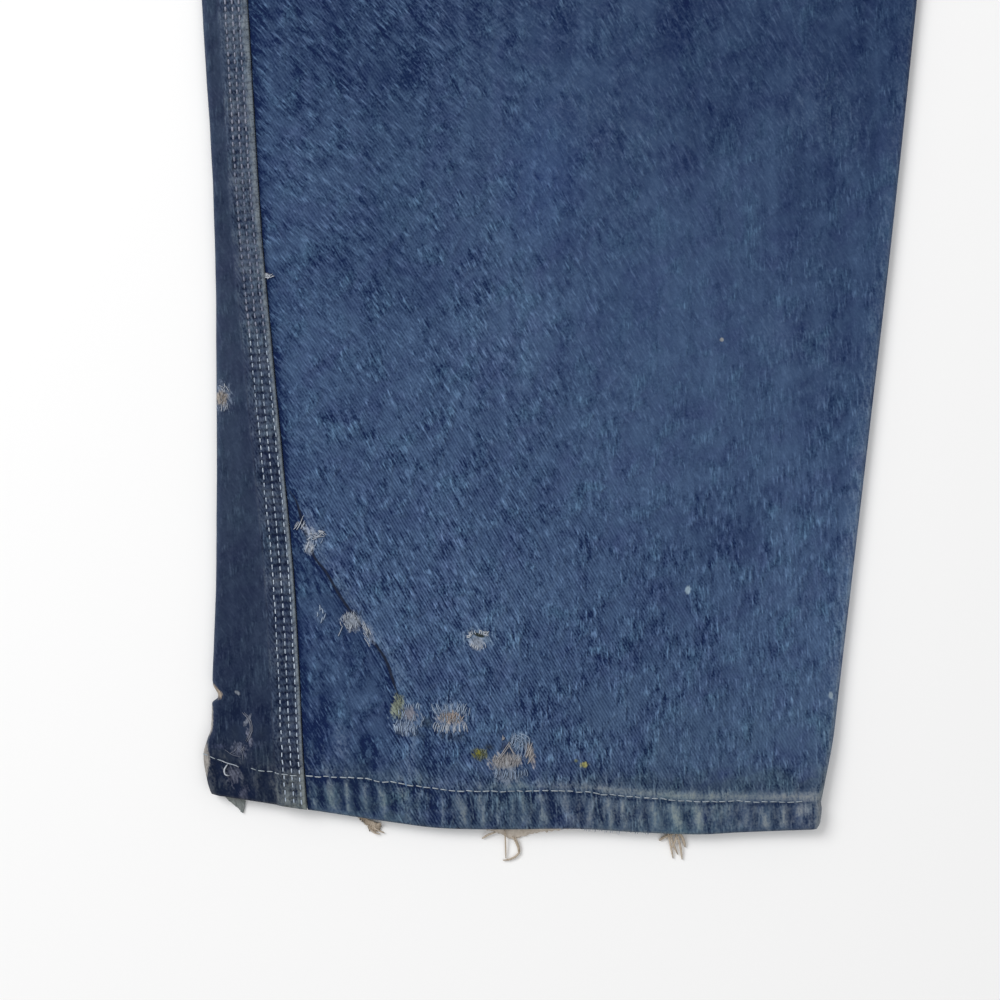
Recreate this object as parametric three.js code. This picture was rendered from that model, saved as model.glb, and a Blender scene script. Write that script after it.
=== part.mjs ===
// Denim bib-and-brace dungarees, laid out flat on their back with the front up.
// Millimetres, +Z up, +Y from the hems towards the bib, +X towards the wearer's left leg.
// Each leg is a flattened tube: the front panel lies on the back panel, the outseam has
// rolled on to the front and the inseam has rolled under. Every piece is a closed wall of cloth.
import * as THREE from "three";

// Cloth
const ply = 1.2; // one thickness of denim
const twoPly = 2 * ply; // hems, bands and fells
const seamGap = 0.3; // between two pieces at a seam
const fellWidth = 11; // the flat-felled outseam, three rows of stitching wide

// Lengths up the garment, from the nominal hem line
const hemDepth = 15;
const crotch = 780;
const waistSeam = 1112;
const bandHeight = 40;
const bandTop = waistSeam + bandHeight;
const bibHeight = 268;
const bibTop = bandTop + bibHeight;
const backBibHeight = 318;
const topHemDepth = 25; // the turned top of both bibs
const strapFold = 1632;

// Half widths of the flat garment
const inseamAtHem = 93.2;
const inseamSlope = 0.1175; // the legs spread by this much towards the hem
const outerEdge = through([
  [0, 336.2], [5, 337.8], [16, 339.4], [22, 337.9], [48, 335.8], [96, 334.4], [172, 334.2],
  [252, 335.4], [332, 340.2], [450, 347], [620, 351], [crotch, 349], [870, 339], [960, 320],
  [1050, 299], [waistSeam, 286], [bandTop, 280],
]);
const innerEdge = (h) => inseamAtHem - inseamSlope * h;
const bibHalf = through([[0, 205], [30, 174], [90, 146], [180, 131], [bibHeight, 126]]);
const backBibHalf = through([[0, 262], [40, 214], [110, 158], [200, 112], [backBibHeight, 66]]);

// The outseam's folded edge, out from the middle, and the inseam, under from the inner fold
const fellEdge = through([
  [0, 297.6], [24, 299.4], [56, 301], [96, 303.2], [140, 307], [198, 312.4], [243, 316.4],
  [332, 321.8], [450, 329.8], [620, 334.5], [crotch, 332.5], [870, 322.5], [960, 303.5],
  [1050, 282.5], [waistSeam, 269.5], [bandTop, 263.5],
]);
const inseamUnder = through([[0, 22], [400, 15], [700, 9], [750, 4], [772, -1.2]]);
const crotchGap = through([[740, seamGap], [772, 2.4]]); // the seam opens a little where the legs meet

// How far the hem rises towards the outer fold, and how that dies out up the leg
const hemRise = through([
  [0, 14.5], [36, 8.8], [76, 2.8], [92, 0.9], [115, 0.4], [147, 0.6], [171, -0.8], [195, -1.6],
  [211, -0.8], [242, 0.5],
]);
const hemRiseReach = 180;

// Heights of the outside of the upper layer: over the folds and in the middle
const foldRadius = through([
  [0, 3.2], [17, 3.2], [70, 2.4], [300, 2.3], [1050, 2.3], [waistSeam, 2.9], [bandTop, 3.2],
]);
const restHeight = through([
  [0, 5.5], [17, 5.5], [70, 3.6], [300, 3.1], [1050, 3.1], [1106, 4.4], [waistSeam, 4.6],
]);
const bandRest = 5.5;
const foldFall = 10; // how quickly the top falls from a fold to the rest height

// Largest soft folds of the upper layer: [x, y] to [x, y], height and half width
const softFolds = [
  { from: [-26, 792], to: [-168, 858], height: 5, half: 17 },
  { from: [-30, 752], to: [-196, 770], height: 4, half: 16 },
  { from: [-44, 700], to: [-186, 640], height: 3.5, half: 18 },
  { from: [-318, 520], to: [-206, 470], height: 3, half: 20 },
  { from: [-92, 440], to: [-178, 492], height: 2.5, half: 18 },
  { from: [-272, 980], to: [-176, 914], height: 3, half: 17 },
  { from: [30, 800], to: [176, 842], height: 4.5, half: 17 },
  { from: [26, 748], to: [188, 742], height: 4.5, half: 16 },
  { from: [52, 664], to: [170, 590], height: 3, half: 19 },
  { from: [306, 560], to: [214, 486], height: 3, half: 20 },
  { from: [96, 390], to: [196, 420], height: 3, half: 20 },
  { from: [300, 300], to: [196, 236], height: 2.5, half: 20 },
  { from: [258, 1000], to: [150, 948], height: 3, half: 17 },
];
// The set crease beside the right outseam: the cloth steps up on its inner side
const crease = { from: [-307, 140], to: [-260, 52], step: 1.5, sharp: 4, soft: 26 };

// Straps and metal
const strapWidth = 40;
const strapPly = 2;
const shoulderTurn = 2.2; // middle radius of the strap's fold at the shoulder
const buckleBar = { x: 98, y: 1440, z: 6, width: 3, thick: 2.2 };
const buttonDrop = 40; // from the buckle's bar to the bib button
const barLoop = 3.1; // middle radius of the strap round the bar
const slider = { x: 94.9, y: 1500, z: 7, length: 26, width: 50, thick: 1.6, bar: 3 };
const buttonRadius = 8.5;
const shankRadius = 3;

const indigo = { color: 0x3c4f71, roughness: 0.9, metalness: 0 };
const dullBrass = { color: 0x8d8a80, roughness: 0.45, metalness: 0.9 };
const denim = () => new THREE.MeshStandardMaterial(indigo);
const brass = () => new THREE.MeshStandardMaterial(dullBrass);

// A smooth function through a few points: cubic between them, level beyond the ends.
function through(points) {
  const last = points.length - 1;
  const slopes = points.map((_, i) => {
    const [a, b] = [points[Math.max(i - 1, 0)], points[Math.min(i + 1, last)]];
    return (b[1] - a[1]) / (b[0] - a[0]);
  });
  return (x) => {
    if (x <= points[0][0]) return points[0][1];
    if (x >= points[last][0]) return points[last][1];
    const i = points.findIndex((p) => p[0] > x) - 1;
    const span = points[i + 1][0] - points[i][0];
    const t = (x - points[i][0]) / span;
    const [t2, t3] = [t * t, t * t * t];
    return (
      (2 * t3 - 3 * t2 + 1) * points[i][1] + (t3 - 2 * t2 + t) * span * slopes[i] +
      (3 * t2 - 2 * t3) * points[i + 1][1] + (t3 - t2) * span * slopes[i + 1]
    );
  };
}

const clamp = THREE.MathUtils.clamp;
const smooth = THREE.MathUtils.smoothstep;
const spread = (from, to, count) =>
  Array.from({ length: count }, (_, i) => from + ((to - from) * i) / (count - 1));

// The lift of the upper layer at a place: soft ridges, and the step of the set crease.
function foldsAt(x, y) {
  let lift = 0;
  for (const { from, to, height, half } of softFolds) {
    const { along, off, length } = beside(from, to, x, y);
    const past = Math.max(-along, along - length, 0);
    const taper = smooth(length / 2 - Math.abs(along - length / 2) + half, 0, 2 * half);
    lift += height * taper * Math.exp(-((off / half) ** 2)) * (past > half ? 0 : 1);
  }
  const { along, off, length } = beside(crease.from, crease.to, x, y);
  if (along > 0 && along < length) {
    const fade = Math.sin((Math.PI * along) / length) ** 0.5;
    lift += crease.step * fade * smooth(off, 0, crease.sharp) * Math.exp(-Math.max(off, 0) / crease.soft);
  }
  return lift;
}

// Where a place lies beside a line: how far along it, and how far off to its left.
function beside(from, to, x, y) {
  const [dx, dy] = [to[0] - from[0], to[1] - from[1]];
  const length = Math.hypot(dx, dy);
  const [ux, uy] = [dx / length, dy / length];
  const along = (x - from[0]) * ux + (y - from[1]) * uy;
  return { along, off: (y - from[1]) * ux - (x - from[0]) * uy, length };
}

// The half tube at height h: its fold radius, its width and the lengths round it.
function ring(h, rest = restHeight(h), radius = foldRadius(h)) {
  const split = h < crotch;
  const width = outerEdge(h) - (split ? innerEdge(h) : 0);
  const quarter = (Math.PI / 2) * radius;
  const flat = width - radius * (split ? 2 : 1);
  const rim = quarter + flat + quarter; // from the outer rim over the top to the inner rim
  const end = split ? rim + inseamUnder(h) : quarter + flat - seamGap / 2;
  const backEnd = split ? 2 * rim - end - crotchGap(h) : end;
  const fell = quarter + outerEdge(h) - fellEdge(h) - radius;
  return { h, rest, radius, split, width, quarter, flat, end, backEnd, fell };
}

// A point on the outside of the flattened tube. q runs round it from the outer rim:
// positive over the top, negative underneath. side is -1 for the right leg and 1 for the left.
function tubePoint(r, q, side) {
  const over = q >= 0;
  const past = Math.abs(q) - r.quarter;
  let inset = r.radius;
  let z = over ? 2 * r.radius : 0;
  if (past < 0) {
    const turn = Math.abs(q) / r.radius;
    inset -= r.radius * Math.cos(turn);
    z = r.radius * (1 + (over ? 1 : -1) * Math.sin(turn));
  } else if (past <= r.flat || !r.split) {
    inset += Math.min(past, r.flat);
  } else if (past <= r.flat + 2 * r.quarter) {
    const turn = (past - r.flat) / r.radius;
    inset += r.flat + r.radius * Math.sin(turn);
    z = r.radius * (1 + (over ? 1 : -1) * Math.cos(turn));
  } else {
    inset += 2 * r.flat + 2 * r.quarter - past;
    z = over ? 0 : 2 * r.radius;
  }
  const x = side * (outerEdge(r.h) - inset);
  const rise = hemRise(inset) * (1 - smooth(r.h, 0, hemRiseReach));
  const y = r.h + rise;
  if (over && past >= 0 && past <= r.flat) {
    const fromOuter = 1 - Math.exp(-past / foldFall);
    const fromInner = r.split ? 1 - Math.exp((past - r.flat) / foldFall) : 1;
    z += fromOuter * fromInner * (r.rest - 2 * r.radius + foldsAt(x, y));
  }
  return new THREE.Vector3(x, y, z);
}

// A closed wall from a grid of points on its outside: raise moves the outside out, and thick is
// the wall's depth.
function wallGeometry(grid, thick, raise = () => 0) {
  const rows = grid.length;
  const cols = grid[0].length;
  const at = (i, j) => grid[clamp(i, 0, rows - 1)][clamp(j, 0, cols - 1)];
  const outside = [];
  const inside = [];
  for (let i = 0; i < rows; i++)
    for (let j = 0; j < cols; j++) {
      const down = at(i + 1, j).clone().sub(at(i - 1, j));
      const across = at(i, j + 1).clone().sub(at(i, j - 1));
      const out = across.cross(down).normalize();
      outside.push(grid[i][j].clone().addScaledVector(out, raise(i, j)));
      inside.push(grid[i][j].clone().addScaledVector(out, -thick(i, j)));
    }
  const outer = (i, j) => i * cols + j;
  const inner = (i, j) => rows * cols + i * cols + j;
  const index = [];
  const quad = (a, b, c, d) => index.push(a, b, c, a, c, d);
  for (let i = 0; i < rows - 1; i++)
    for (let j = 0; j < cols - 1; j++) {
      quad(outer(i, j), outer(i, j + 1), outer(i + 1, j + 1), outer(i + 1, j));
      quad(inner(i, j), inner(i + 1, j), inner(i + 1, j + 1), inner(i, j + 1));
    }
  for (let j = 0; j < cols - 1; j++) {
    quad(outer(0, j), inner(0, j), inner(0, j + 1), outer(0, j + 1));
    quad(outer(rows - 1, j), outer(rows - 1, j + 1), inner(rows - 1, j + 1), inner(rows - 1, j));
  }
  for (let i = 0; i < rows - 1; i++) {
    quad(outer(i, 0), outer(i + 1, 0), inner(i + 1, 0), inner(i, 0));
    quad(outer(i, cols - 1), inner(i, cols - 1), inner(i + 1, cols - 1), outer(i + 1, cols - 1));
  }
  const geometry = new THREE.BufferGeometry().setFromPoints([...outside, ...inside]);
  geometry.setIndex(index);
  return geometry;
}

const garment = new THREE.Group();

function add(name, geometry, material) {
  const mesh = new THREE.Mesh(geometry, material);
  mesh.name = name;
  garment.add(mesh);
  return mesh;
}

// The wall is turned the right way round for the side that it is on.
const facing = (grid, side) => (side < 0 ? grid : grid.map((row) => [...row].reverse()));

// Legs and hips: rows up both panels, closer at the hem, the crease and the crotch
const hemRows = [0, hemDepth, hemDepth + 2.5, 32];
const legRows = [60, 88, 116, 146, 190, 250, 320, 390, 450, 510, 570, 630, 680, 720, 750, 772];
const hipRows = [795, 830, 870, 915, 960, 1010, 1060, waistSeam - seamGap];
const panelRows = [...hemRows, ...legRows, ...hipRows];
const wallAt = (h) => (h <= hemDepth ? twoPly : ply);

// Distances round the tube for a front panel: over the top, round the inner fold, then under.
function frontColumns(r) {
  const start = r.fell + seamGap;
  const bend = 6;
  const tail = r.split ? r.end - (r.quarter + r.flat - bend) : 24;
  const turn = Math.min(2 * r.quarter, (tail - bend) * 0.85);
  return [
    ...spread(start, r.end - tail, 9),
    ...spread(0, turn, 6).map((d) => r.end - tail + bend + d),
    r.end,
  ];
}

// For a back panel: from the inseam under the leg, round the outer fold, up on to the fell.
function backColumns(r) {
  const nearEnd = 4 - Math.min(r.backEnd, r.quarter + r.flat);
  return [
    -r.backEnd, (nearEnd - r.backEnd) / 2, nearEnd,
    ...spread(nearEnd, -r.quarter, 6).slice(1),
    ...spread(-r.quarter, r.quarter, 7).slice(1),
    r.fell - fellWidth - 1.2, r.fell - fellWidth, r.fell - fellWidth / 2, r.fell,
  ];
}

const fellLift = (columns, r) => columns.map((q) => (q > r.fell - fellWidth - 0.1 ? ply : 0));

function addLeg(side, suffix) {
  const rings = panelRows.map((h) => ring(h));
  const wall = (i) => wallAt(panelRows[i]);
  const front = rings.map((r) => frontColumns(r).map((q) => tubePoint(r, q, side)));
  add("front_leg_" + suffix, wallGeometry(facing(front, side), wall), denim());

  const columns = rings.map(backColumns);
  const back = rings.map((r, i) => columns[i].map((q) => tubePoint(r, q, side)));
  const lifts = facing(rings.map((r, i) => fellLift(columns[i], r)), side);
  add("back_leg_" + suffix, wallGeometry(facing(back, side), wall, (i, j) => lifts[i][j]), denim());
}

// Waistbands: one across the front, and one under the back that comes round both folds
function addBands() {
  const rows = [waistSeam, waistSeam + bandHeight / 2, bandTop - seamGap];
  const rings = rows.map((h) => ring(h, bandRest, foldRadius(bandTop)));
  const bothSides = (columnsOf) =>
    rings.map((r) => {
      const columns = columnsOf(r);
      const right = columns.map((q) => tubePoint(r, q, -1));
      const left = columns.map((q) => tubePoint(r, q, 1)).reverse();
      return [...right, ...left];
    });
  const bandMiddle = 12; // the bands' last columns stand this far from the middle of the garment
  const across = bothSides((r) => spread(r.fell + seamGap, r.quarter + r.flat - bandMiddle, 7));
  add("waistband_front", wallGeometry(across, () => twoPly), denim());
  const under = bothSides((r) => [
    r.fell,
    r.fell - fellWidth,
    ...spread(r.quarter, -r.quarter, 7),
    ...spread(-r.quarter, -r.quarter - r.flat + bandMiddle, 5).slice(1),
  ]);
  add("waistband_back", wallGeometry(facing(under, 1), () => twoPly), denim());
}

// The front bib lies on the back bib, so its height falls from the band and rises at the turned top
function addBibs() {
  const turned = bibHeight - topHemDepth;
  const height = through([[0, 4.9], [60, 3.4], [215, 3.4], [turned, 4.2], [bibHeight, 4.2]]);
  const ups = [0, 15, 40, 80, 125, 170, 215, turned - 2, turned, bibHeight];
  const front = ups.map((up) =>
    spread(-1, 1, 11).map((t) => new THREE.Vector3(t * bibHalf(up), bandTop + up, height(up))),
  );
  add("bib_front", wallGeometry(front, (i) => (ups[i] >= turned ? twoPly : ply)), denim());

  const backTurned = backBibHeight - topHemDepth;
  const backUps = [0, 15, 40, 75, 120, 180, 240, backTurned - 2, backTurned, backBibHeight];
  const back = backUps.map((up) =>
    spread(1, -1, 9).map((t) => new THREE.Vector3(t * backBibHalf(up), bandTop + up, 0)),
  );
  add("bib_back", wallGeometry(back, (i) => (backUps[i] >= backTurned ? twoPly : ply)), denim());
}

// A strap leaves the back bib, folds over at the shoulder, threads its slider, goes round the buckle's
// bar and turns up behind itself. Its rows run across it, parallel to the shoulder fold.
function addStrap(side, suffix) {
  const start = new THREE.Vector2(42, bandTop + backBibHeight + seamGap);
  const fold = new THREE.Vector2(88, strapFold);
  const bar = new THREE.Vector2(buckleBar.x, buckleBar.y);
  const rise = fold.clone().sub(start).normalize();
  const fall = bar.clone().sub(fold).normalize();
  const acrossFold = rise.clone().add(fall).normalize();
  const acrossBar = new THREE.Vector2(-fall.y, fall.x);
  const stretch = 1 / Math.abs(rise.cross(acrossFold));
  const rows = [];
  const row = (place, z, across, wide = 1) => {
    const half = (strapWidth / 2) * wide;
    rows.push([-1, 0, 1].map((t) => new THREE.Vector3(
      side * (place.x + across.x * half * t), place.y + across.y * half * t, z,
    )));
  };
  const middle = strapPly / 2; // the rows run along the middle of the strap's thickness
  const level = new THREE.Vector2(1, 0);
  for (const t of [0, 0.2, 0.4, 0.7, 0.97]) {
    const across = level.clone().lerp(acrossFold, Math.min(1, 2 * t)).normalize();
    row(start.clone().lerp(fold, t), middle, across, stretch);
  }
  for (const a of spread(0, Math.PI, 7)) {
    const place = fold.clone().addScaledVector(rise, shoulderTurn * Math.sin(a));
    row(place, middle + shoulderTurn * (1 - Math.cos(a)), acrossFold, stretch);
  }
  const height = through([
    [buckleBar.y, buckleBar.z + barLoop], [1455, buckleBar.z + barLoop], [1466, 8], [1488.5, 4.6],
    [1494, 6.7], [slider.y, 9.4], [1506, 6.7], [1511.5, 4.6], [1520, 4.7], [1570, 5.1],
    [strapFold, middle + 2 * shoulderTurn],
  ]);
  const overSlider = spread(slider.y + 14, slider.y - 15, 12);
  for (const y of [1615, 1570, 1540, 1520, ...overSlider, 1478, 1466, 1455]) {
    const t = (strapFold - y) / (strapFold - buckleBar.y);
    const across = acrossFold.clone().lerp(acrossBar, Math.min(1, 2 * t)).normalize();
    row(fold.clone().lerp(bar, t), height(y), across);
  }
  for (const a of spread(0, Math.PI, 9)) {
    const place = bar.clone().addScaledVector(fall, barLoop * Math.sin(a));
    row(place, buckleBar.z + barLoop * Math.cos(a), acrossBar);
  }
  for (const back of [14, 27])
    row(bar.clone().addScaledVector(fall, -back), buckleBar.z - barLoop, acrossBar);
  add("strap_" + suffix, wallGeometry(facing(rows, side), () => middle, () => middle), denim());
  return Math.atan2(fall.x, -fall.y);
}

// A flat metal plate with holes, lying level with its middle at the given place.
function plate(outline, holes, thick, place, turn) {
  const shape = new THREE.Shape(outline);
  shape.holes = holes.map((points) => new THREE.Path(points));
  const geometry = new THREE.ExtrudeGeometry(shape, { depth: thick, bevelEnabled: false });
  geometry.translate(0, 0, -thick / 2);
  geometry.rotateZ(turn);
  geometry.translate(...place);
  return geometry;
}

const flatPoints = (pairs) => pairs.map(([x, y]) => new THREE.Vector2(x, y));
const rectangle = (x0, y0, x1, y1) => flatPoints([[x0, y0], [x1, y0], [x1, y1], [x0, y1]]);
const arcPoints = (radius, y, from, to, count) =>
  spread(from, to, count).map((a) => new THREE.Vector2(radius * Math.cos(a), y + radius * Math.sin(a)));

function addSlider(side, suffix, angle) {
  const { length, width, bar, thick } = slider;
  const [halfL, halfW] = [length / 2, width / 2];
  const slot = (y0, y1) => rectangle(-halfW + 4, y0, halfW - 4, y1);
  add("slider_" + suffix, plate(
    rectangle(-halfW, -halfL, halfW, halfL),
    [slot(bar / 2, halfL - bar), slot(-halfL + bar, -bar / 2)],
    thick, [side * slider.x, slider.y, slider.z], side * angle,
  ), brass());
}

// The buckle: a bar for the strap at the top, narrowing to an eye that hooks under the button's head.
function addBuckle(side, suffix, angle) {
  const wire = 2.6;
  const eye = 8;
  const { width, thick } = buckleBar;
  const outline = [
    ...flatPoints([[25, width / 2], [-25, width / 2], [-25, -10], [-10, -24]]),
    ...arcPoints(eye, -buttonDrop - 1, Math.PI, 2 * Math.PI, 9),
    ...flatPoints([[10, -24], [25, -10]]),
  ];
  const keyhole = [
    ...flatPoints([[21, -10.2], [-21, -10.2], [-8, -22.5]]),
    ...arcPoints(eye - wire - 1, -buttonDrop, Math.PI, 2 * Math.PI, 9),
    ...flatPoints([[8, -22.5]]),
  ];
  add("buckle_" + suffix, plate(
    outline, [rectangle(-21, -7.6, 21, -width / 2), keyhole],
    thick, [side * buckleBar.x, buckleBar.y, buckleBar.z], side * angle,
  ), brass());
}

// A shank button turned about its own axis: a foot on the cloth, a shank and a dished head.
function addButton(name, x, y, z, shank) {
  const head = shank + 2.4;
  const profile = flatPoints([
    [0, 0], [4.2, 0], [4.2, 0.3], [shankRadius, 0.5], [shankRadius, shank],
    [buttonRadius - 0.6, shank], [buttonRadius, shank + 0.7], [buttonRadius, head - 0.7],
    [buttonRadius - 0.8, head], [6, head], [5.2, head - 0.6], [0, head - 0.6],
  ]);
  const geometry = new THREE.LatheGeometry(profile, 16);
  geometry.rotateX(Math.PI / 2);
  geometry.translate(x, y, z);
  add(name, geometry, brass());
}

function addSideButtons(side, suffix) {
  const overBand = waistSeam + bandHeight / 2;
  const overOpening = 1040;
  const fromFell = 13;
  const shank = 1.1;
  const places = [
    ["waist", overBand, bandRest + 0.9],
    ["hip", overOpening, restHeight(overOpening) + 1.5],
  ];
  for (const [name, h, z] of places)
    addButton("button_" + name + "_" + suffix, side * (fellEdge(h) - fromFell), h, z, shank);
}

for (const [side, suffix] of [[-1, "right"], [1, "left"]]) {
  addLeg(side, suffix);
  const angle = addStrap(side, suffix);
  addSlider(side, suffix, angle);
  addBuckle(side, suffix, angle);
  const drop = new THREE.Vector2(0, -buttonDrop).rotateAround(new THREE.Vector2(), side * angle);
  addButton("button_bib_" + suffix, side * buckleBar.x + drop.x, buckleBar.y + drop.y, 4.5, 3);
  addSideButtons(side, suffix);
}
addBands();
addBibs();

// The origin is under the middle of the garment, on the surface that it lies on.
const box = new THREE.Box3().setFromObject(garment);
const middle = box.getCenter(new THREE.Vector3());
garment.position.set(-middle.x, -middle.y, -box.min.z);

export default garment;
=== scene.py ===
# Worn denim bib-and-brace dungarees, laid flat on their back on a pale floor.
# Shapes are worked out in millimetres, as the maker measures them: x across towards the wearer's
# left, h up the garment from the hem line, z up from the floor. They become metres in the mesh.
import bpy
import numpy as np
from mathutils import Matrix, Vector


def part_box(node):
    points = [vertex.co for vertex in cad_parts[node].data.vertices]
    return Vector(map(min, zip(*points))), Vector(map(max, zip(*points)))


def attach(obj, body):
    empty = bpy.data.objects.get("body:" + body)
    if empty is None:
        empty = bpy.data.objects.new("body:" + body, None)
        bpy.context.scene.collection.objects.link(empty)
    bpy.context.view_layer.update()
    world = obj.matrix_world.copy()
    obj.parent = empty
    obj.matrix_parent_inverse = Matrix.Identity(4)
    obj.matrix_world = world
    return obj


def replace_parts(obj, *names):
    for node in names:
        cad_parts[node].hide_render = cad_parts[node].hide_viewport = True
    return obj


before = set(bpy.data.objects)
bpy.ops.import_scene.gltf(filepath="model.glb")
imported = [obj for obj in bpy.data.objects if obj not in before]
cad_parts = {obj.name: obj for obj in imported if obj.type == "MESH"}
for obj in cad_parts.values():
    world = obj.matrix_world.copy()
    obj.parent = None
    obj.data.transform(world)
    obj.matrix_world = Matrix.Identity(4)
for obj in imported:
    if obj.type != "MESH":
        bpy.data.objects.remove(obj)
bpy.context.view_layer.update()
bibFoot = 1152  # how far the bibs' foot is above the hem line
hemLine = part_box("bib_front")[0].y * 1000 - bibFoot  # the hem line's place in the frame
metre = 0.001  # one mm in metres


# shape and mesh helpers

def curve(points):
    # smooth function through a few points: cubic between them, level past the ends
    px, py = np.array(points, float).T
    last = len(px) - 1
    here = np.arange(last + 1)
    before, after = np.maximum(here - 1, 0), np.minimum(here + 1, last)
    slope = (py[after] - py[before]) / (px[after] - px[before])

    def at(x):
        x = np.clip(x, px[0], px[-1])
        i = np.clip(np.searchsorted(px, x, side="right") - 1, 0, last - 1)
        span = px[i + 1] - px[i]
        t = (x - px[i]) / span
        level = (2 * t**3 - 3 * t**2 + 1) * py[i] + (3 * t**2 - 2 * t**3) * py[i + 1]
        return level + (t**3 - 2 * t**2 + t) * span * slope[i] + (t**3 - t**2) * span * slope[i + 1]
    return at


def ease(x, low, high):
    # 0 below low, 1 above high, an S between
    t = np.clip((x - low) / (high - low), 0, 1)
    return t * t * (3 - 2 * t)


def fall(x, low, high):
    # the other way round: 1 below low, 0 above high
    return 1 - ease(x, low, high)


def hump(x, middle, half):
    # a bell: 1 at the middle, about a third at half to either side
    return np.exp(-((x - middle) / half) ** 2)


def undulate(x, y, size, seed, stretch=1.0):
    # uneven cloth, about -1 to 1: six sine waves of near the same length in scattered directions
    dice = np.random.default_rng(seed)
    waves = zip(dice.uniform(0, np.pi, 6), dice.uniform(0, 6.28, 6), dice.uniform(0.7, 1.5, 6))
    total = 0
    for turn, phase, length in waves:
        far = x * np.cos(turn) + y * np.sin(turn) / stretch
        total = total + np.sin(2 * np.pi * far / (size * length) + phase)
    return total / 3


def unit(v):
    return v / np.maximum(np.linalg.norm(v, axis=-1, keepdims=True), 1e-9)


def gridNormals(grid):
    # cross product of the steps along the columns and along the rows
    return unit(np.cross(np.gradient(grid, axis=1), np.gradient(grid, axis=0)))


def quads(a, b, c, d):
    return np.stack([a, b, c, d], -1).reshape(-1, 4)


def fillMesh(name, points, faces, material):
    # points in mm become a smooth mesh in metres, at its place in the frame
    mesh = bpy.data.meshes.new(name)
    mesh.from_pydata((points + [0, hemLine, 0]) * metre, [], faces)
    mesh.materials.append(material)
    mesh.polygons.foreach_set("use_smooth", np.full(len(mesh.polygons), True))
    mesh.update()
    piece = bpy.data.objects.new(name, mesh)
    bpy.context.scene.collection.objects.link(piece)
    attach(piece, "root")
    return piece


# what each point of cloth carries: fade lightens and deep darkens, deep being partly painted shade in
# hollows and beside raised edges; grime soils, crease and strip are distances in mm (far off unless given),
# grain is how coarse the weave looks, upright how its slant stands
plainMarks = dict(fade=0.0, deep=0.0, grime=0.0, crease=60.0, strip=60.0, grain=0.8, upright=1.0)


def wall(name, grid, thick, cut, material, paleInside=1.0, **marks):
    # a closed wall of cloth: the outside is the grid, the inside lies thick below it along the normals,
    # and four rims join them. cut is where each point lies in the flat pattern.
    rows, cols = grid.shape[:2]
    inside = grid - gridNormals(grid) * (np.ones((rows, cols)) * thick)[..., None]
    points = np.concatenate([grid.reshape(-1, 3), inside.reshape(-1, 3)])
    outer = np.arange(rows * cols).reshape(rows, cols)
    inner = outer + rows * cols
    faces = np.concatenate([
        quads(outer[:-1, :-1], outer[:-1, 1:], outer[1:, 1:], outer[1:, :-1]),
        quads(inner[:-1, :-1], inner[1:, :-1], inner[1:, 1:], inner[:-1, 1:]),
        quads(outer[0, :-1], inner[0, :-1], inner[0, 1:], outer[0, 1:]),
        quads(outer[-1, :-1], outer[-1, 1:], inner[-1, 1:], inner[-1, :-1]),
        quads(outer[:-1, 0], outer[1:, 0], inner[1:, 0], inner[:-1, 0]),
        quads(outer[:-1, -1], inner[:-1, -1], inner[1:, -1], outer[1:, -1]),
    ])
    piece = fillMesh(name, points, faces.tolist(), material)
    mesh = piece.data
    corners = np.zeros(len(mesh.loops), int)
    mesh.loops.foreach_get("vertex_index", corners)
    flat = np.tile(cut.reshape(-1, 2), (2, 1)) * metre
    mesh.uv_layers.new(name="cut").data.foreach_set("uv", flat[corners].ravel())
    carried = {mark: np.tile((value * np.ones((rows, cols))).ravel(), 2)
               for mark, value in {**plainMarks, **marks}.items()}
    carried["inside"] = np.repeat([0.0, paleInside], rows * cols)
    for mark, value in carried.items():
        mesh.attributes.new(mark, "FLOAT", "POINT").data.foreach_set("value", value)
    return piece


def layCloth(node, grid, thick, cut, material, marks, **sheet):
    # a wall that stands for a node of the frame
    piece = wall(node + "_cloth", grid, thick, cut, material, **marks)
    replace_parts(piece, node)


def follow(grid, rowAt, colAt):
    # points and normals at fractional places on a grid, straight between its points
    rowAt, colAt = np.broadcast_arrays(np.asarray(rowAt, float), np.asarray(colAt, float))
    i = np.clip(rowAt.astype(int), 0, grid.shape[0] - 2)
    j = np.clip(colAt.astype(int), 0, grid.shape[1] - 2)
    u, v = (rowAt - i)[:, None], (colAt - j)[:, None]

    def mix(a):
        left, right = a[i, j] * (1 - u) + a[i + 1, j] * u, a[i, j + 1] * (1 - u) + a[i + 1, j + 1] * u
        return left * (1 - v) + right * v
    return mix(grid), mix(gridNormals(grid))


def tubes(name, paths, radii, material, sides=5, flatten=1.0, up=(0, 0, 1)):
    # round threads: a ring of points about each step of each path, and a flat cap on both ends
    paths = np.asarray(paths, float)
    count, steps = paths.shape[:2]
    radii = np.ones((count, steps)) * radii
    along = unit(np.gradient(paths, axis=1))
    lift = np.broadcast_to(np.asarray(up, float), paths.shape)
    beside = np.cross(along, lift)
    upright = np.linalg.norm(beside, axis=2, keepdims=True) < 0.05
    beside = np.where(upright, np.array([1.0, 0, 0]), unit(beside))
    above = np.cross(beside, along)
    turn = (np.arange(sides) * 2 * np.pi / sides)[:, None]
    ring = beside[:, :, None] * np.cos(turn) + above[:, :, None] * np.sin(turn) * flatten
    points = paths[:, :, None] + ring * radii[:, :, None, None]
    number = np.arange(count * steps * sides).reshape(count, steps, sides)
    turned = np.roll(number, -1, axis=2)
    skin = quads(number[:, :-1], turned[:, :-1], turned[:, 1:], number[:, 1:])
    caps = np.concatenate([number[:, 0, ::-1], number[:, -1]])
    return fillMesh(name, points.reshape(-1, 3), skin.tolist() + caps.tolist(), material)


stitchShape = dict(bends=np.array([-1.0, -0.6, 0.6, 1.0]), arch=np.array([-0.25, 0.14, 0.14, -0.25]),
                   taper=np.array([0.55, 1, 1, 0.55]), proud=0.1, flat=0.8)


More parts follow.
